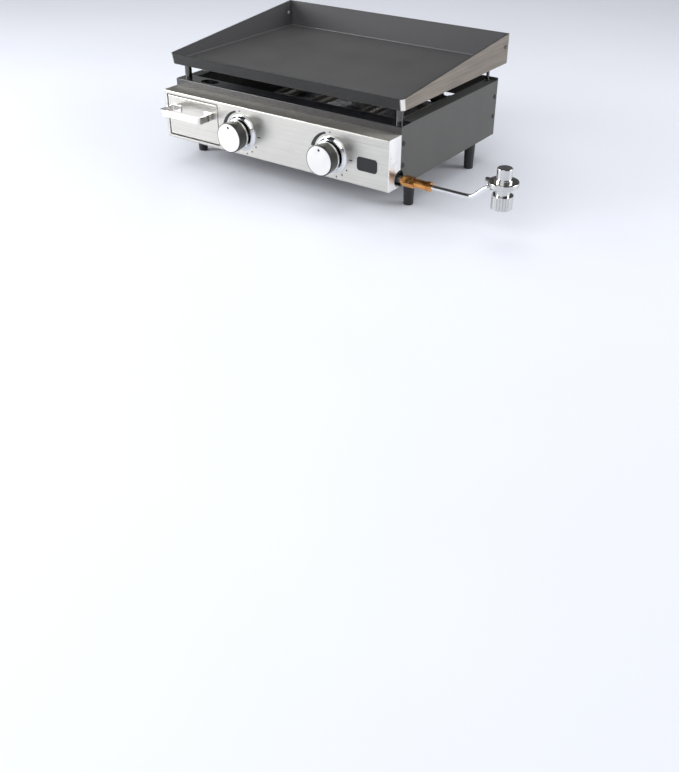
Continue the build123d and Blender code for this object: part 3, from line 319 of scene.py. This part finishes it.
# The ends that face sideways get a near-white colour: a painted highlight.
side_turn = add(tree, "ShaderNodeMath", {0: facing["X"]}, operation="ABSOLUTE")
end_highlight_mask = add(tree, "ShaderNodeMapRange", {"Value": side_turn, "From Min": 0.4, "From Max": 0.9})
colour = add(tree, "ShaderNodeMix", {0: end_highlight_mask, 6: brushed_with_painted_fold_sheen, 7: linear("#faf9f6")}, 2,
             data_type="RGBA")
on_face = add(tree, "ShaderNodeMath", {0: upright, 1: end_highlight_mask}, operation="SUBTRACT", use_clamp=True)
belt = add(tree, "ShaderNodeMapRange", {"Value": smears, "From Min": 0.3, "From Max": 0.7,
                                        "To Min": 0.26, "To Max": 0.4})
each = add(tree, "ShaderNodeMapRange", {"Value": lines, "To Min": -0.06, "To Max": 0.08})
varied = add(tree, "ShaderNodeMath", {0: belt, 1: each}, operation="ADD")
rough = add(tree, "ShaderNodeMix", {0: upright, 2: 0.58, 3: varied})
depth = add(tree, "ShaderNodeMath", {0: on_face, 1: 0.3}, operation="MULTIPLY")
skin = add(tree, "ShaderNodeBump", {"Height": lines, "Distance": 0.01 * MM, "Strength": depth})
around = add(tree, "ShaderNodeTangent", direction_type="RADIAL", axis="X")
fill(shader, {"Base Color": colour, "Roughness": rough, "Normal": skin, "Tangent": around,
              "Anisotropic": 0.55, "Anisotropic Rotation": 0.25})
dress(material, "control_panel", "drawer_front")

# %% [markdown]
# ## Chrome, zinc plate, nickel and cast metal
#
# These are one idea with other numbers: a metal with a thin skin, whose gloss drifts in a haze and
# whose surface isn't quite flat. Bright chrome copies its surroundings and has almost no relief.
# Zinc plate on the screws and the handle's rivets is duller and cooler. On the side walls it is
# passivated black, so that a screw shows as a dark head with a small highlight. The drawer's handle
# is a stainless strip that was polished after bending, so its top is dark and its front is bright.
# The plate's feet are plated black nickel, dark but glossy. The regulator is a die casting under
# nickel, and the casting's soft lumps break its reflections up.

# %% Plated and polished metals
PLATED = {
    # name: colour, lowest and highest roughness, size and depth of the lumps in mm, nodes
    "polished_chrome": ("#e2e3e5", 0.05, 0.12, 6.0, 0.02, ["gas_tube", "tube_nut", *(
        f"{part}_{side}" for part in ("bezel", "knob_ring") for side in SIDES)]),
    "zinc_plated_steel": ("#c9cacb", 0.26, 0.42, 1.5, 0.03, ["leg_screws", "handle_rivets"]),
    "black_zinc_plated_steel": ("#55565a", 0.14, 0.24, 1.5, 0.03, ["panel_screws"]),
    "polished_stainless_strip": ("#d9d6d1", 0.12, 0.24, 8.0, 0.04, ["drawer_handle"]),
    "black_nickel_plate": ("#5c5b5a", 0.12, 0.24, 5.0, 0.02, ["plate_feet"]),
    "nickel_plated_casting": ("#c9c9c8", 0.1, 0.26, 3.0, 0.1, [
        "regulator_body", "regulator_bonnet", "vent_plug", "coupling_nut"]),
}
for name, (shade, smooth, dull, lump, depth, nodes) in PLATED.items():
    material, tree, shader, coords = start_finish(name, shade, 1.0, smooth)
    lumps = add(tree, "ShaderNodeTexNoise", {"Vector": coords, "Scale": cells(lump)})
    haze = add(tree, "ShaderNodeTexNoise", {"Vector": coords, "Scale": cells(12), "Detail": 4.0})
    rough = add(tree, "ShaderNodeMapRange", {"Value": haze, "From Min": 0.3, "From Max": 0.7,
                                             "To Min": smooth, "To Max": dull})
    skin = add(tree, "ShaderNodeBump", {"Height": lumps, "Distance": depth * MM, "Strength": 0.6})
    fill(shader, {"Roughness": rough, "Normal": skin})
    dress(material, *nodes)

# %% [markdown]
# ## Aluminium rivets
#
# The two blind rivets that hold the back sheet are drawn aluminium. Their domed heads are rough
# enough to look white from most sides. The heads outside the pan were rubbed together with the
# steel around them, so they have taken on its grey.

# %% Rivets
material, tree, shader, coords = start_finish("drawn_aluminium", "#f2f2f1", 1.0, 0.5)
place = add(tree, "ShaderNodeSeparateXYZ", {"Vector": coords}).node.outputs
reach = add(tree, "ShaderNodeMath", {0: place["X"]}, operation="ABSOLUTE")
# The colour changes inside the wall that the rivet passes through, where it can't be seen.
outer = add(tree, "ShaderNodeMapRange", {"Value": reach, "From Min": plate_high.x - 2 * MM,
                                         "From Max": plate_high.x - MM})
scuffs = add(tree, "ShaderNodeTexNoise", {"Vector": coords, "Scale": cells(1.5), "Detail": 3.0})
white = add(tree, "ShaderNodeMix", {0: scuffs, 6: linear("#ececeb"), 7: linear("#f8f8f7")}, 2,
            data_type="RGBA")
colour = add(tree, "ShaderNodeMix", {0: outer, 6: white, 7: linear("#6d6760")}, 2, data_type="RGBA")
rough = add(tree, "ShaderNodeMapRange", {"Value": scuffs, "To Min": 0.45, "To Max": 0.6})
skin = add(tree, "ShaderNodeBump", {"Height": scuffs, "Distance": 0.03 * MM, "Strength": 0.6})
fill(shader, {"Base Color": colour, "Roughness": rough, "Normal": skin})
dress(material, "splash_rivets")

# %% [markdown]
# ## Turned brass
#
# The inlet fittings are turned on a lathe from brass bar. The tool leaves fine rings round the
# axis, and the fresh cuts catch an orange light while the hollows stay brown. The valve plugs,
# their stems and the gas jets are the same metal.

# %% Turned brass
material, tree, shader, coords = start_finish("turned_brass", "#d39450", 1.0, 0.2)
around = add(tree, "ShaderNodeMapping", {"Vector": coords, "Scale": cells(1.0, 60, 60)})
rings = add(tree, "ShaderNodeTexNoise", {"Vector": around, "Scale": 1.0})
tarnish = add(tree, "ShaderNodeTexNoise", {"Vector": coords, "Scale": cells(9), "Detail": 3.0})
colour = add(tree, "ShaderNodeMix", {0: tarnish, 6: linear("#bd7c3a"), 7: linear("#e8ad6c")}, 2,
             data_type="RGBA")
rough = add(tree, "ShaderNodeMapRange", {"Value": tarnish, "From Min": 0.3, "From Max": 0.7,
                                         "To Min": 0.12, "To Max": 0.26})
skin = add(tree, "ShaderNodeBump", {"Height": rings, "Distance": 0.02 * MM, "Strength": 0.3})
fill(shader, {"Base Color": colour, "Roughness": rough, "Normal": skin})
dress(material, "inlet_nut", "inlet_sleeve", "inlet_collar",
      *[f"{part}_{side}" for part in ("valve_plug", "valve_stem", "orifice") for side in SIDES])

# %% [markdown]
# ## Knobs: dark lacquered body, spun aluminium face
#
# A knob is a hollow zinc casting with a dark metallic lacquer, whose flakes give a fine sparkle
# under a clear layer. Its face is a thin aluminium disc that was spun against fine abrasive, so its
# lines run in circles and its highlight turns with the light, as on a record. The real lines are
# finer than half a millimetre, which is as fine as the render can show.

# %% Knob bodies
material, tree, shader, coords = start_finish("dark_metallic_lacquer", "#3c3b3a", 0.75, 0.3)
flake = add(tree, "ShaderNodeTexNoise", {"Vector": coords, "Scale": cells(0.6), "Detail": 1.0})
colour = add(tree, "ShaderNodeMix", {0: flake, 6: linear("#343332"), 7: linear("#545352")}, 2,
             data_type="RGBA")
rough = add(tree, "ShaderNodeMapRange", {"Value": flake, "To Min": 0.24, "To Max": 0.38})
fill(shader, {"Base Color": colour, "Roughness": rough, "Coat Weight": 0.4, "Coat Roughness": 0.12})
dress(material, *[f"knob_{side}" for side in SIDES])

# %% Spun faces
for side in SIDES:
    low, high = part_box(f"knob_cap_{side}")
    centre = (low + high) / 2
    material, tree, shader, coords = start_finish(f"spun_aluminium_{side}", "#e9e8e5", 1.0, 0.3)
    centred = add(tree, "ShaderNodeMapping", {"Vector": coords, "Location": -centre})
    parts = add(tree, "ShaderNodeSeparateXYZ", {"Vector": centred}).node.outputs
    flat = add(tree, "ShaderNodeCombineXYZ", {"X": parts["X"], "Y": parts["Z"]})
    radius = add(tree, "ShaderNodeVectorMath", {0: flat}, "Value", operation="LENGTH")
    ringed = add(tree, "ShaderNodeTexNoise", {"W": radius, "Scale": cells(0.5)},
                 noise_dimensions="1D")
    colour = add(tree, "ShaderNodeMix", {0: ringed, 6: linear("#dbdad7"), 7: linear("#f0efec")}, 2,
                 data_type="RGBA")
    rough = add(tree, "ShaderNodeMapRange", {"Value": ringed, "To Min": 0.24, "To Max": 0.38})
    skin = add(tree, "ShaderNodeBump", {"Height": ringed, "Distance": 0.02 * MM, "Strength": 0.5})
    fill(shader, {"Base Color": colour, "Roughness": rough, "Normal": skin})
    dress(material, f"knob_cap_{side}")

# %% [markdown]
# ## Legs and plaque
#
# The legs are moulded in black polypropylene. The mould was finished by spark erosion, which gives
# them a fine matt grain. The plaque is a small steel plate with black vitreous enamel: fused glass,
# deep black with a faint wave in its gloss.

# %% Legs
material, tree, shader, coords = start_finish("moulded_polypropylene", "#1a1b1e", 0.0, 0.45)
spark = add(tree, "ShaderNodeTexNoise", {"Vector": coords, "Scale": cells(0.6)})
tall = add(tree, "ShaderNodeMapping", {"Vector": coords, "Scale": cells(15, 15, 30)})
flow = add(tree, "ShaderNodeTexNoise", {"Vector": tall, "Scale": 1.0})
colour = add(tree, "ShaderNodeMix", {0: flow, 6: linear("#16171a"), 7: linear("#1f2024")}, 2,
             data_type="RGBA")
rough = add(tree, "ShaderNodeMapRange", {"Value": spark, "To Min": 0.38, "To Max": 0.52})
skin = add(tree, "ShaderNodeBump", {"Height": spark, "Distance": 0.04 * MM, "Strength": 0.6})
fill(shader, {"Base Color": colour, "Roughness": rough, "Normal": skin})
dress(material, *[f"leg_{row}_{side}" for row in ("front", "back") for side in SIDES])

# %% Plaque
material, tree, shader, coords = start_finish("black_vitreous_enamel", "#08090b", 0.0, 0.3)
wave = add(tree, "ShaderNodeTexNoise", {"Vector": coords, "Scale": cells(7)})
colour = add(tree, "ShaderNodeMix", {0: wave, 6: linear("#060708"), 7: linear("#0c0d10")}, 2,
             data_type="RGBA")
rough = add(tree, "ShaderNodeMapRange", {"Value": wave, "To Min": 0.28, "To Max": 0.36})
skin = add(tree, "ShaderNodeBump", {"Height": wave, "Distance": 0.04 * MM, "Strength": 0.5})
fill(shader, {"Base Color": colour, "Roughness": rough, "Normal": skin})
dress(material, "badge_plate")

# %% [markdown]
# ## Inside the firebox
#
# The burner tubes are welded stainless steel that has been hot, so straw and bronze tints drift
# over them. The reflector, the rest for the burners, the grease tray and its guides are hot-dip
# zinc sheet, whose crystals make a faint spangle. The manifold and the valve bodies are cast
# aluminium with the grain of a sand-blasted mould, and each igniter is a stick of glazed alumina, a
# cream-white ceramic.

# %% Heat-tinted stainless tube
material, tree, shader, coords = start_finish("heat_tinted_stainless", "#a89f92", 1.0, 0.34)
long_cells = add(tree, "ShaderNodeMapping", {"Vector": coords, "Scale": cells(35, 60, 35)})
heat = add(tree, "ShaderNodeTexNoise", {"Vector": long_cells, "Scale": 1.0, "Detail": 3.0})
rolled = add(tree, "ShaderNodeMapping", {"Vector": coords, "Scale": cells(0.6, 20, 0.6)})
lines = add(tree, "ShaderNodeTexNoise", {"Vector": rolled, "Scale": 1.0})
colour = add(tree, "ShaderNodeMix", {0: heat, 6: linear("#cbc9c5"), 7: linear("#a69c8c")}, 2,
             data_type="RGBA")
rough = add(tree, "ShaderNodeMapRange", {"Value": heat, "From Min": 0.3, "From Max": 0.7,
                                         "To Min": 0.28, "To Max": 0.44})
skin = add(tree, "ShaderNodeBump", {"Height": lines, "Distance": 0.01 * MM, "Strength": 0.5})
fill(shader, {"Base Color": colour, "Roughness": rough, "Normal": skin})
dress(material, "crossover_tube",
      *[f"{part}_{side}" for part in ("burner", "venturi") for side in SIDES])

# %% Hot-dip zinc sheet
material, tree, shader, coords = start_finish("zinc_coated_sheet", "#b9babb", 1.0, 0.34)
spangle = add(tree, "ShaderNodeTexVoronoi", {"Vector": coords, "Scale": cells(7)}, "Color")
ripple = add(tree, "ShaderNodeTexNoise", {"Vector": coords, "Scale": cells(4)})
colour = add(tree, "ShaderNodeMix", {0: spangle, 6: linear("#adafb0"), 7: linear("#c8c9ca")}, 2,
             data_type="RGBA")
rough = add(tree, "ShaderNodeMapRange", {"Value": spangle, "To Min": 0.26, "To Max": 0.42})
skin = add(tree, "ShaderNodeBump", {"Height": ripple, "Distance": 0.02 * MM, "Strength": 0.4})
fill(shader, {"Base Color": colour, "Roughness": rough, "Normal": skin})
dress(material, "heat_reflector", "grease_tray", "burner_rest",
      *[f"drawer_guide_{side}" for side in SIDES])

# %% Cast aluminium
material, tree, shader, coords = start_finish("cast_aluminium", "#9d9d9c", 1.0, 0.45)
sand = add(tree, "ShaderNodeTexNoise", {"Vector": coords, "Scale": cells(1.2), "Detail": 3.0})
colour = add(tree, "ShaderNodeMix", {0: sand, 6: linear("#8d8d8c"), 7: linear("#acacab")}, 2,
             data_type="RGBA")
rough = add(tree, "ShaderNodeMapRange", {"Value": sand, "To Min": 0.38, "To Max": 0.56})
skin = add(tree, "ShaderNodeBump", {"Height": sand, "Distance": 0.08 * MM, "Strength": 0.6})
fill(shader, {"Base Color": colour, "Roughness": rough, "Normal": skin})
dress(material, "manifold_pipe", *[f"valve_body_{side}" for side in SIDES])

# %% Glazed alumina
material, tree, shader, coords = start_finish("glazed_alumina", "#e6e1d5", 0.0, 0.3)
speck = add(tree, "ShaderNodeTexNoise", {"Vector": coords, "Scale": cells(0.8), "Detail": 4.0})
colour = add(tree, "ShaderNodeMix", {0: speck, 6: linear("#dcd6c8"), 7: linear("#efebe1")}, 2,
             data_type="RGBA")
rough = add(tree, "ShaderNodeMapRange", {"Value": speck, "To Min": 0.24, "To Max": 0.38})
fill(shader, {"Base Color": colour, "Roughness": rough})
dress(material, *[f"igniter_{side}" for side in SIDES])

# %% [markdown]
# ## Printed marks round the knobs
#
# The panel has a setting scale printed round each knob: a crescent that narrows as the flame gets
# smaller, a dash for off at the top, a short line on the right and three dots below. The ink is a
# film a few hundredths of a millimetre thick. It is made as real, very thin solids on the panel's
# face, so that it can be seen from any side and has an edge of its own.

# %% Shapes on the panel's face
INK = 0.06 * MM
face_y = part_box("control_panel")[0].y


def round_knob(centre, radius, degrees):
    """A point on the panel's face, at a radius and an angle round a knob."""
    angle = math.radians(degrees)
    return Vector((centre.x + radius * math.cos(angle), face_y,
                   centre.z + radius * math.sin(angle)))


def print_shape(bm, outline):
    """A flat film with this outline, given anticlockwise as seen from the front."""
    back = [bm.verts.new(point) for point in outline]
    front = [bm.verts.new(point - Vector((0, INK, 0))) for point in outline]
    bm.faces.new(front)
    bm.faces.new(back[::-1])
    count = len(outline)
    for i in range(count):
        j = (i + 1) % count
        bm.faces.new((back[i], back[j], front[j], front[i]))


def ring_piece(bm, centre, start, stop, inner, outer_start, outer_stop, steps):
    """A piece of a ring whose outer edge moves from one radius to another."""
    turns = [start + (stop - start) * i / steps for i in range(steps + 1)]
    reach = [outer_start + (outer_stop - outer_start) * i / steps for i in range(steps + 1)]
    outline = [round_knob(centre, r, a) for a, r in zip(turns, reach)]
    outline += [round_knob(centre, inner, a) for a in reversed(turns)]
    print_shape(bm, outline)


print("panel face at y =", round(face_y / MM, 2), "mm; ink", round(INK / MM, 2), "mm thick")


# %% Ink and its pieces
def mesh_piece(name, bm, material, body):
    """A finished mesh in the scene, with outward faces, that rides on a body."""
    bmesh.ops.recalc_face_normals(bm, faces=bm.faces)
    mesh = bpy.data.meshes.new(name)
    bm.to_mesh(mesh)
    bm.free()
    mesh.materials.append(material)
    piece = bpy.data.objects.new(name, mesh)
    bpy.context.scene.collection.objects.link(piece)
    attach(piece, body)
    print(name, "has", len(mesh.polygons), "faces")
    return piece


# Screen ink is a matt black lacquer, pressed through a mesh, so it is full of tiny pores.
ink, tree, shader, coords = start_finish("screen_printing_ink", "#1b1b1c", 0.0, 0.5)
pores = add(tree, "ShaderNodeTexNoise", {"Vector": coords, "Scale": cells(0.5)})
colour = add(tree, "ShaderNodeMix", {0: pores, 6: linear("#111112"), 7: linear("#222223")}, 2,
             data_type="RGBA")
rough = add(tree, "ShaderNodeMapRange", {"Value": pores, "To Min": 0.42, "To Max": 0.6})
fill(shader, {"Base Color": colour, "Roughness": rough})
print("ink:", ink.name)

# %% Printed marks
# Angles are in degrees, anticlockwise from the right. Reaches are in mm past the bezel's edge.
RINGS = (
    # first angle, last angle, inner reach, outer reach at the first and at the last angle, steps
    (168, 108, 4.5, 13, 8, 24),
    (97, 91, 6, 8, 8, 4),
    (-0.6, -3.4, 4, 12, 12, 2),
)
SPOT_ANGLES = (-33, -54, -74)
SPOT_REACH = 6
SPOT_RADIUS = 1.8
SPOT_CORNERS = 16
turns = [math.tau * i / SPOT_CORNERS for i in range(SPOT_CORNERS)]
circle = [Vector((math.cos(a), 0, math.sin(a))) * SPOT_RADIUS * MM for a in turns]
for side in SIDES:
    low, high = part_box(f"bezel_{side}")
    centre = (low + high) / 2
    edge = (high.x - low.x) / 2
    bm = bmesh.new()
    for first, last, *reaches, steps in RINGS:
        ring_piece(bm, centre, first, last, *(edge + reach * MM for reach in reaches), steps)
    for degrees in SPOT_ANGLES:
        spot = round_knob(centre, edge + SPOT_REACH * MM, degrees)
        print_shape(bm, [spot + corner for corner in circle])
    mesh_piece(f"printed_scale_{side}", bm, ink, "cabinet")

# %% [markdown]
# ## Paint in the pointer dots
#
# Each knob face has a round pocket near its top, filled with black paint that sinks a little in the
# middle as it dries. The fill is a shallow dish of rings, so it has that dip.

# %% Pointer dots
DOT_RADIUS = 2.55 * MM
DOT_FROM_CENTRE = 20 * MM
DOT_BEHIND_FACE = 0.1 * MM
DOT_CORNERS = 24
# Each ring of the fill, from its foot over its rim to the dip: share of the radius, depth in mm.
DISH = ((1.0, 0.36), (1.0, 0.06), (0.85, 0.0), (0.5, 0.08), (0.2, 0.12))
turns = [math.tau * i / DOT_CORNERS for i in range(DOT_CORNERS)]
for side in SIDES:
    low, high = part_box(f"knob_cap_{side}")
    middle = Vector(((low.x + high.x) / 2, low.y + DOT_BEHIND_FACE,
                     (low.z + high.z) / 2 + DOT_FROM_CENTRE))
    bm = bmesh.new()
    loops = []
    for share, sink in DISH:
        loops.append([bm.verts.new(middle + Vector((math.cos(a) * share * DOT_RADIUS, sink * MM,
                                                    math.sin(a) * share * DOT_RADIUS)))
                      for a in turns])
    for outer, inner in zip(loops, loops[1:]):
        for i in range(DOT_CORNERS):
            j = (i + 1) % DOT_CORNERS
            bm.faces.new((outer[i], outer[j], inner[j], inner[i]))
    bm.faces.new(loops[-1])
    bm.faces.new(loops[0][::-1])
    mesh_piece(f"pointer_paint_{side}", bm, ink, f"knob_{side}")

# %% [markdown]
# ## Bead round the pan's floor
#
# The pan's walls meet its floor in a small rounded bead, where the coat gathers. It is glossier
# than the coat around it and catches the light as a thin bright line, and its colour is paler than
# the coat's, a painted highlight that brightens that line. It is a concave strip: a quarter circle
# swept along the two sides and the back.

# %% Where the bead runs
BEAD = 2.0 * MM
SPLASH_SHEET = 1.5 * MM
SHEET_GAP = 0.1 * MM
BEAD_CLEARANCE = 0.02 * MM
BEAD_START = 9 * MM
splash_low, splash_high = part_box("back_splash")
# The back sheet stands a hair above the pan's floor, and its two flanges a hair inside the walls.
level = splash_low.z - SHEET_GAP + BEAD_CLEARANCE
half = plate_high.x - WALL
inner_wall = half - SPLASH_SHEET - SHEET_GAP
back = splash_high.y - SPLASH_SHEET
front = plate_low.y + BEAD_START
flange_front = splash_low.y
print("bead from y =", round(front / MM, 1), "to", round(back / MM, 1), "mm")


# %% Bead round the floor
def bead(bm, start, stop, inward, steps=6):
    """A concave strip between floor and wall; inward leads from the wall to the middle."""
    section = []
    for i in range(steps + 1):
        angle = math.pi / 2 * i / steps
        section.append((BEAD * (1 - math.sin(angle)), BEAD * (1 - math.cos(angle))))
    section.append((0.0, 0.0))
    rows = [[bm.verts.new(end + inward * out + Vector((0, 0, up))) for out, up in section]
            for end in (start, stop)]
    count = len(section)
    for i in range(count):
        j = (i + 1) % count
        bm.faces.new((rows[0][i], rows[0][j], rows[1][j], rows[1][i]))
    bm.faces.new(rows[0])
    bm.faces.new(rows[1][::-1])


bm = bmesh.new()
bead(bm, Vector((-inner_wall, back, level)), Vector((inner_wall, back, level)), Vector((0, -1, 0)))
for sign in (-1, 1):
    inward = Vector((-sign, 0, 0))
    bead(bm, Vector((sign * half, front, level)),
         Vector((sign * half, flange_front, level)), inward)
    bead(bm, Vector((sign * inner_wall, flange_front, level)),
         Vector((sign * inner_wall, back, level)), inward)
# The bead's colour is paler than the coat's: a painted highlight along the corner.
material, tree, shader, coords = start_finish("gathered_coat_with_painted_highlight", "#5b5b5c", 0.0, 0.3)
drift = add(tree, "ShaderNodeTexNoise", {"Vector": coords, "Scale": cells(40), "Detail": 3.0})
colour = add(tree, "ShaderNodeMix", {0: drift, 6: linear("#565657"), 7: linear("#646465")}, 2,
             data_type="RGBA")
rough = add(tree, "ShaderNodeMapRange", {"Value": drift, "To Min": 0.24, "To Max": 0.36})
fill(shader, {"Base Color": colour, "Roughness": rough})
floor_bead = mesh_piece("floor_bead", bm, material, "plate")

# %% [markdown]
# ## Floor, sky and lights
#
# The griddle stands on a pale table. A large soft light in front on the left makes the stainless
# panel bright at that end and lets it fall to grey on the right. A second light overhead lifts the
# pan and the table, one on the right keeps the side wall readable, and a wide one in front opens
# the shadow under the panel. The room itself fills the shadows evenly, but in reflections it fades
# to dark overhead, as above a table in a studio, which gives the chrome its dark lines.

# %% Table top
TABLE_HALF = 6.0
TABLE_SQUARES = 8
bm = bmesh.new()
bmesh.ops.create_grid(bm, x_segments=TABLE_SQUARES, y_segments=TABLE_SQUARES, size=TABLE_HALF)
mesh = bpy.data.meshes.new("table_top")
bm.to_mesh(mesh)
bm.free()
table_top = bpy.data.objects.new("table_top", mesh)
bpy.context.scene.collection.objects.link(table_top)
material, tree, shader, coords = start_finish("pale_laminate", "#e0e3ea", 0.0, 0.5)
cloud = add(tree, "ShaderNodeTexNoise", {"Vector": coords, "Scale": cells(400)})
colour = add(tree, "ShaderNodeMix", {0: cloud, 6: linear("#dee1e9"), 7: linear("#e3e6ee")}, 2,
             data_type="RGBA")
fill(shader, {"Base Color": colour})
mesh.materials.append(material)
table_top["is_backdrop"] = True
print("table top,", 2 * TABLE_HALF, "m wide")


# %% Lights
def softbox(name, place, aim, size, watts):
    """A square soft light at a place, turned towards a point."""
    light = bpy.data.lights.new(name, "AREA")
    light.shape = "SQUARE"
    light.size = size
    light.energy = watts
    lamp = bpy.data.objects.new(name, light)
    lamp.location = place
    lamp.rotation_mode = "QUATERNION"
    lamp.rotation_quaternion = (Vector(aim) - Vector(place)).to_track_quat("-Z", "Y")
    bpy.context.scene.collection.objects.link(lamp)
    print(name, watts, "W")
    return lamp


softbox("key_light", place=(-1.9, -1.6, 0.9), aim=(-0.2, -0.1, 0.1), size=1.3, watts=50)
top_light = softbox("top_light", place=(-0.4, 0.2, 2.1), aim=(0.0, 0.0, 0.1), size=2.2, watts=20)
# Chrome mirrors a dark ceiling in place of this light, and so keeps its black stripes.
top_light.visible_glossy = False
softbox("right_light", place=(2.1, 0.9, 0.9), aim=(0.2, 0.0, 0.1), size=1.3, watts=26)
softbox("front_light", place=(0.5, -2.4, 1.7), aim=(0.0, -0.3, 0.0), size=2.0, watts=24)

# %% Room
# In reflections the horizon's glow fades upward into the ceiling's. CEILING_FROM is the sine of the
# angle above the horizon from which on there is only ceiling.
ROOM_GLOW = 0.6
HORIZON_GLOW = 1.0
CEILING_GLOW = 0.06
CEILING_FROM = 0.35
world = bpy.data.worlds.new("studio")
bpy.context.scene.world = world
world.use_nodes = True
sky = world.node_tree
direction = add(sky, "ShaderNodeTexCoord", output="Generated")
height = add(sky, "ShaderNodeSeparateXYZ", {"Vector": direction}, "Z")
mirrored = add(sky, "ShaderNodeMapRange", {"Value": height, "From Min": 0.0,
                                           "From Max": CEILING_FROM,
                                           "To Min": HORIZON_GLOW, "To Max": CEILING_GLOW})
in_reflection = add(sky, "ShaderNodeLightPath", output="Is Glossy Ray")
glow = add(sky, "ShaderNodeMix", {0: in_reflection, 2: ROOM_GLOW, 3: mirrored})
fill(sky.nodes["Background"], {"Color": linear("#f1f2f5"), "Strength": glow})
bpy.context.scene.view_settings.view_transform = "Standard"
print("room:", world.name, "with a glow of", ROOM_GLOW)

# %% [markdown]
# ## Last step
#
# The visual model is meant to be as large as the solid one; its box is measured and printed.

# %% The visual model's box
low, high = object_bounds()
print("visual box in mm:", [round(1000 * v) for v in high - low])
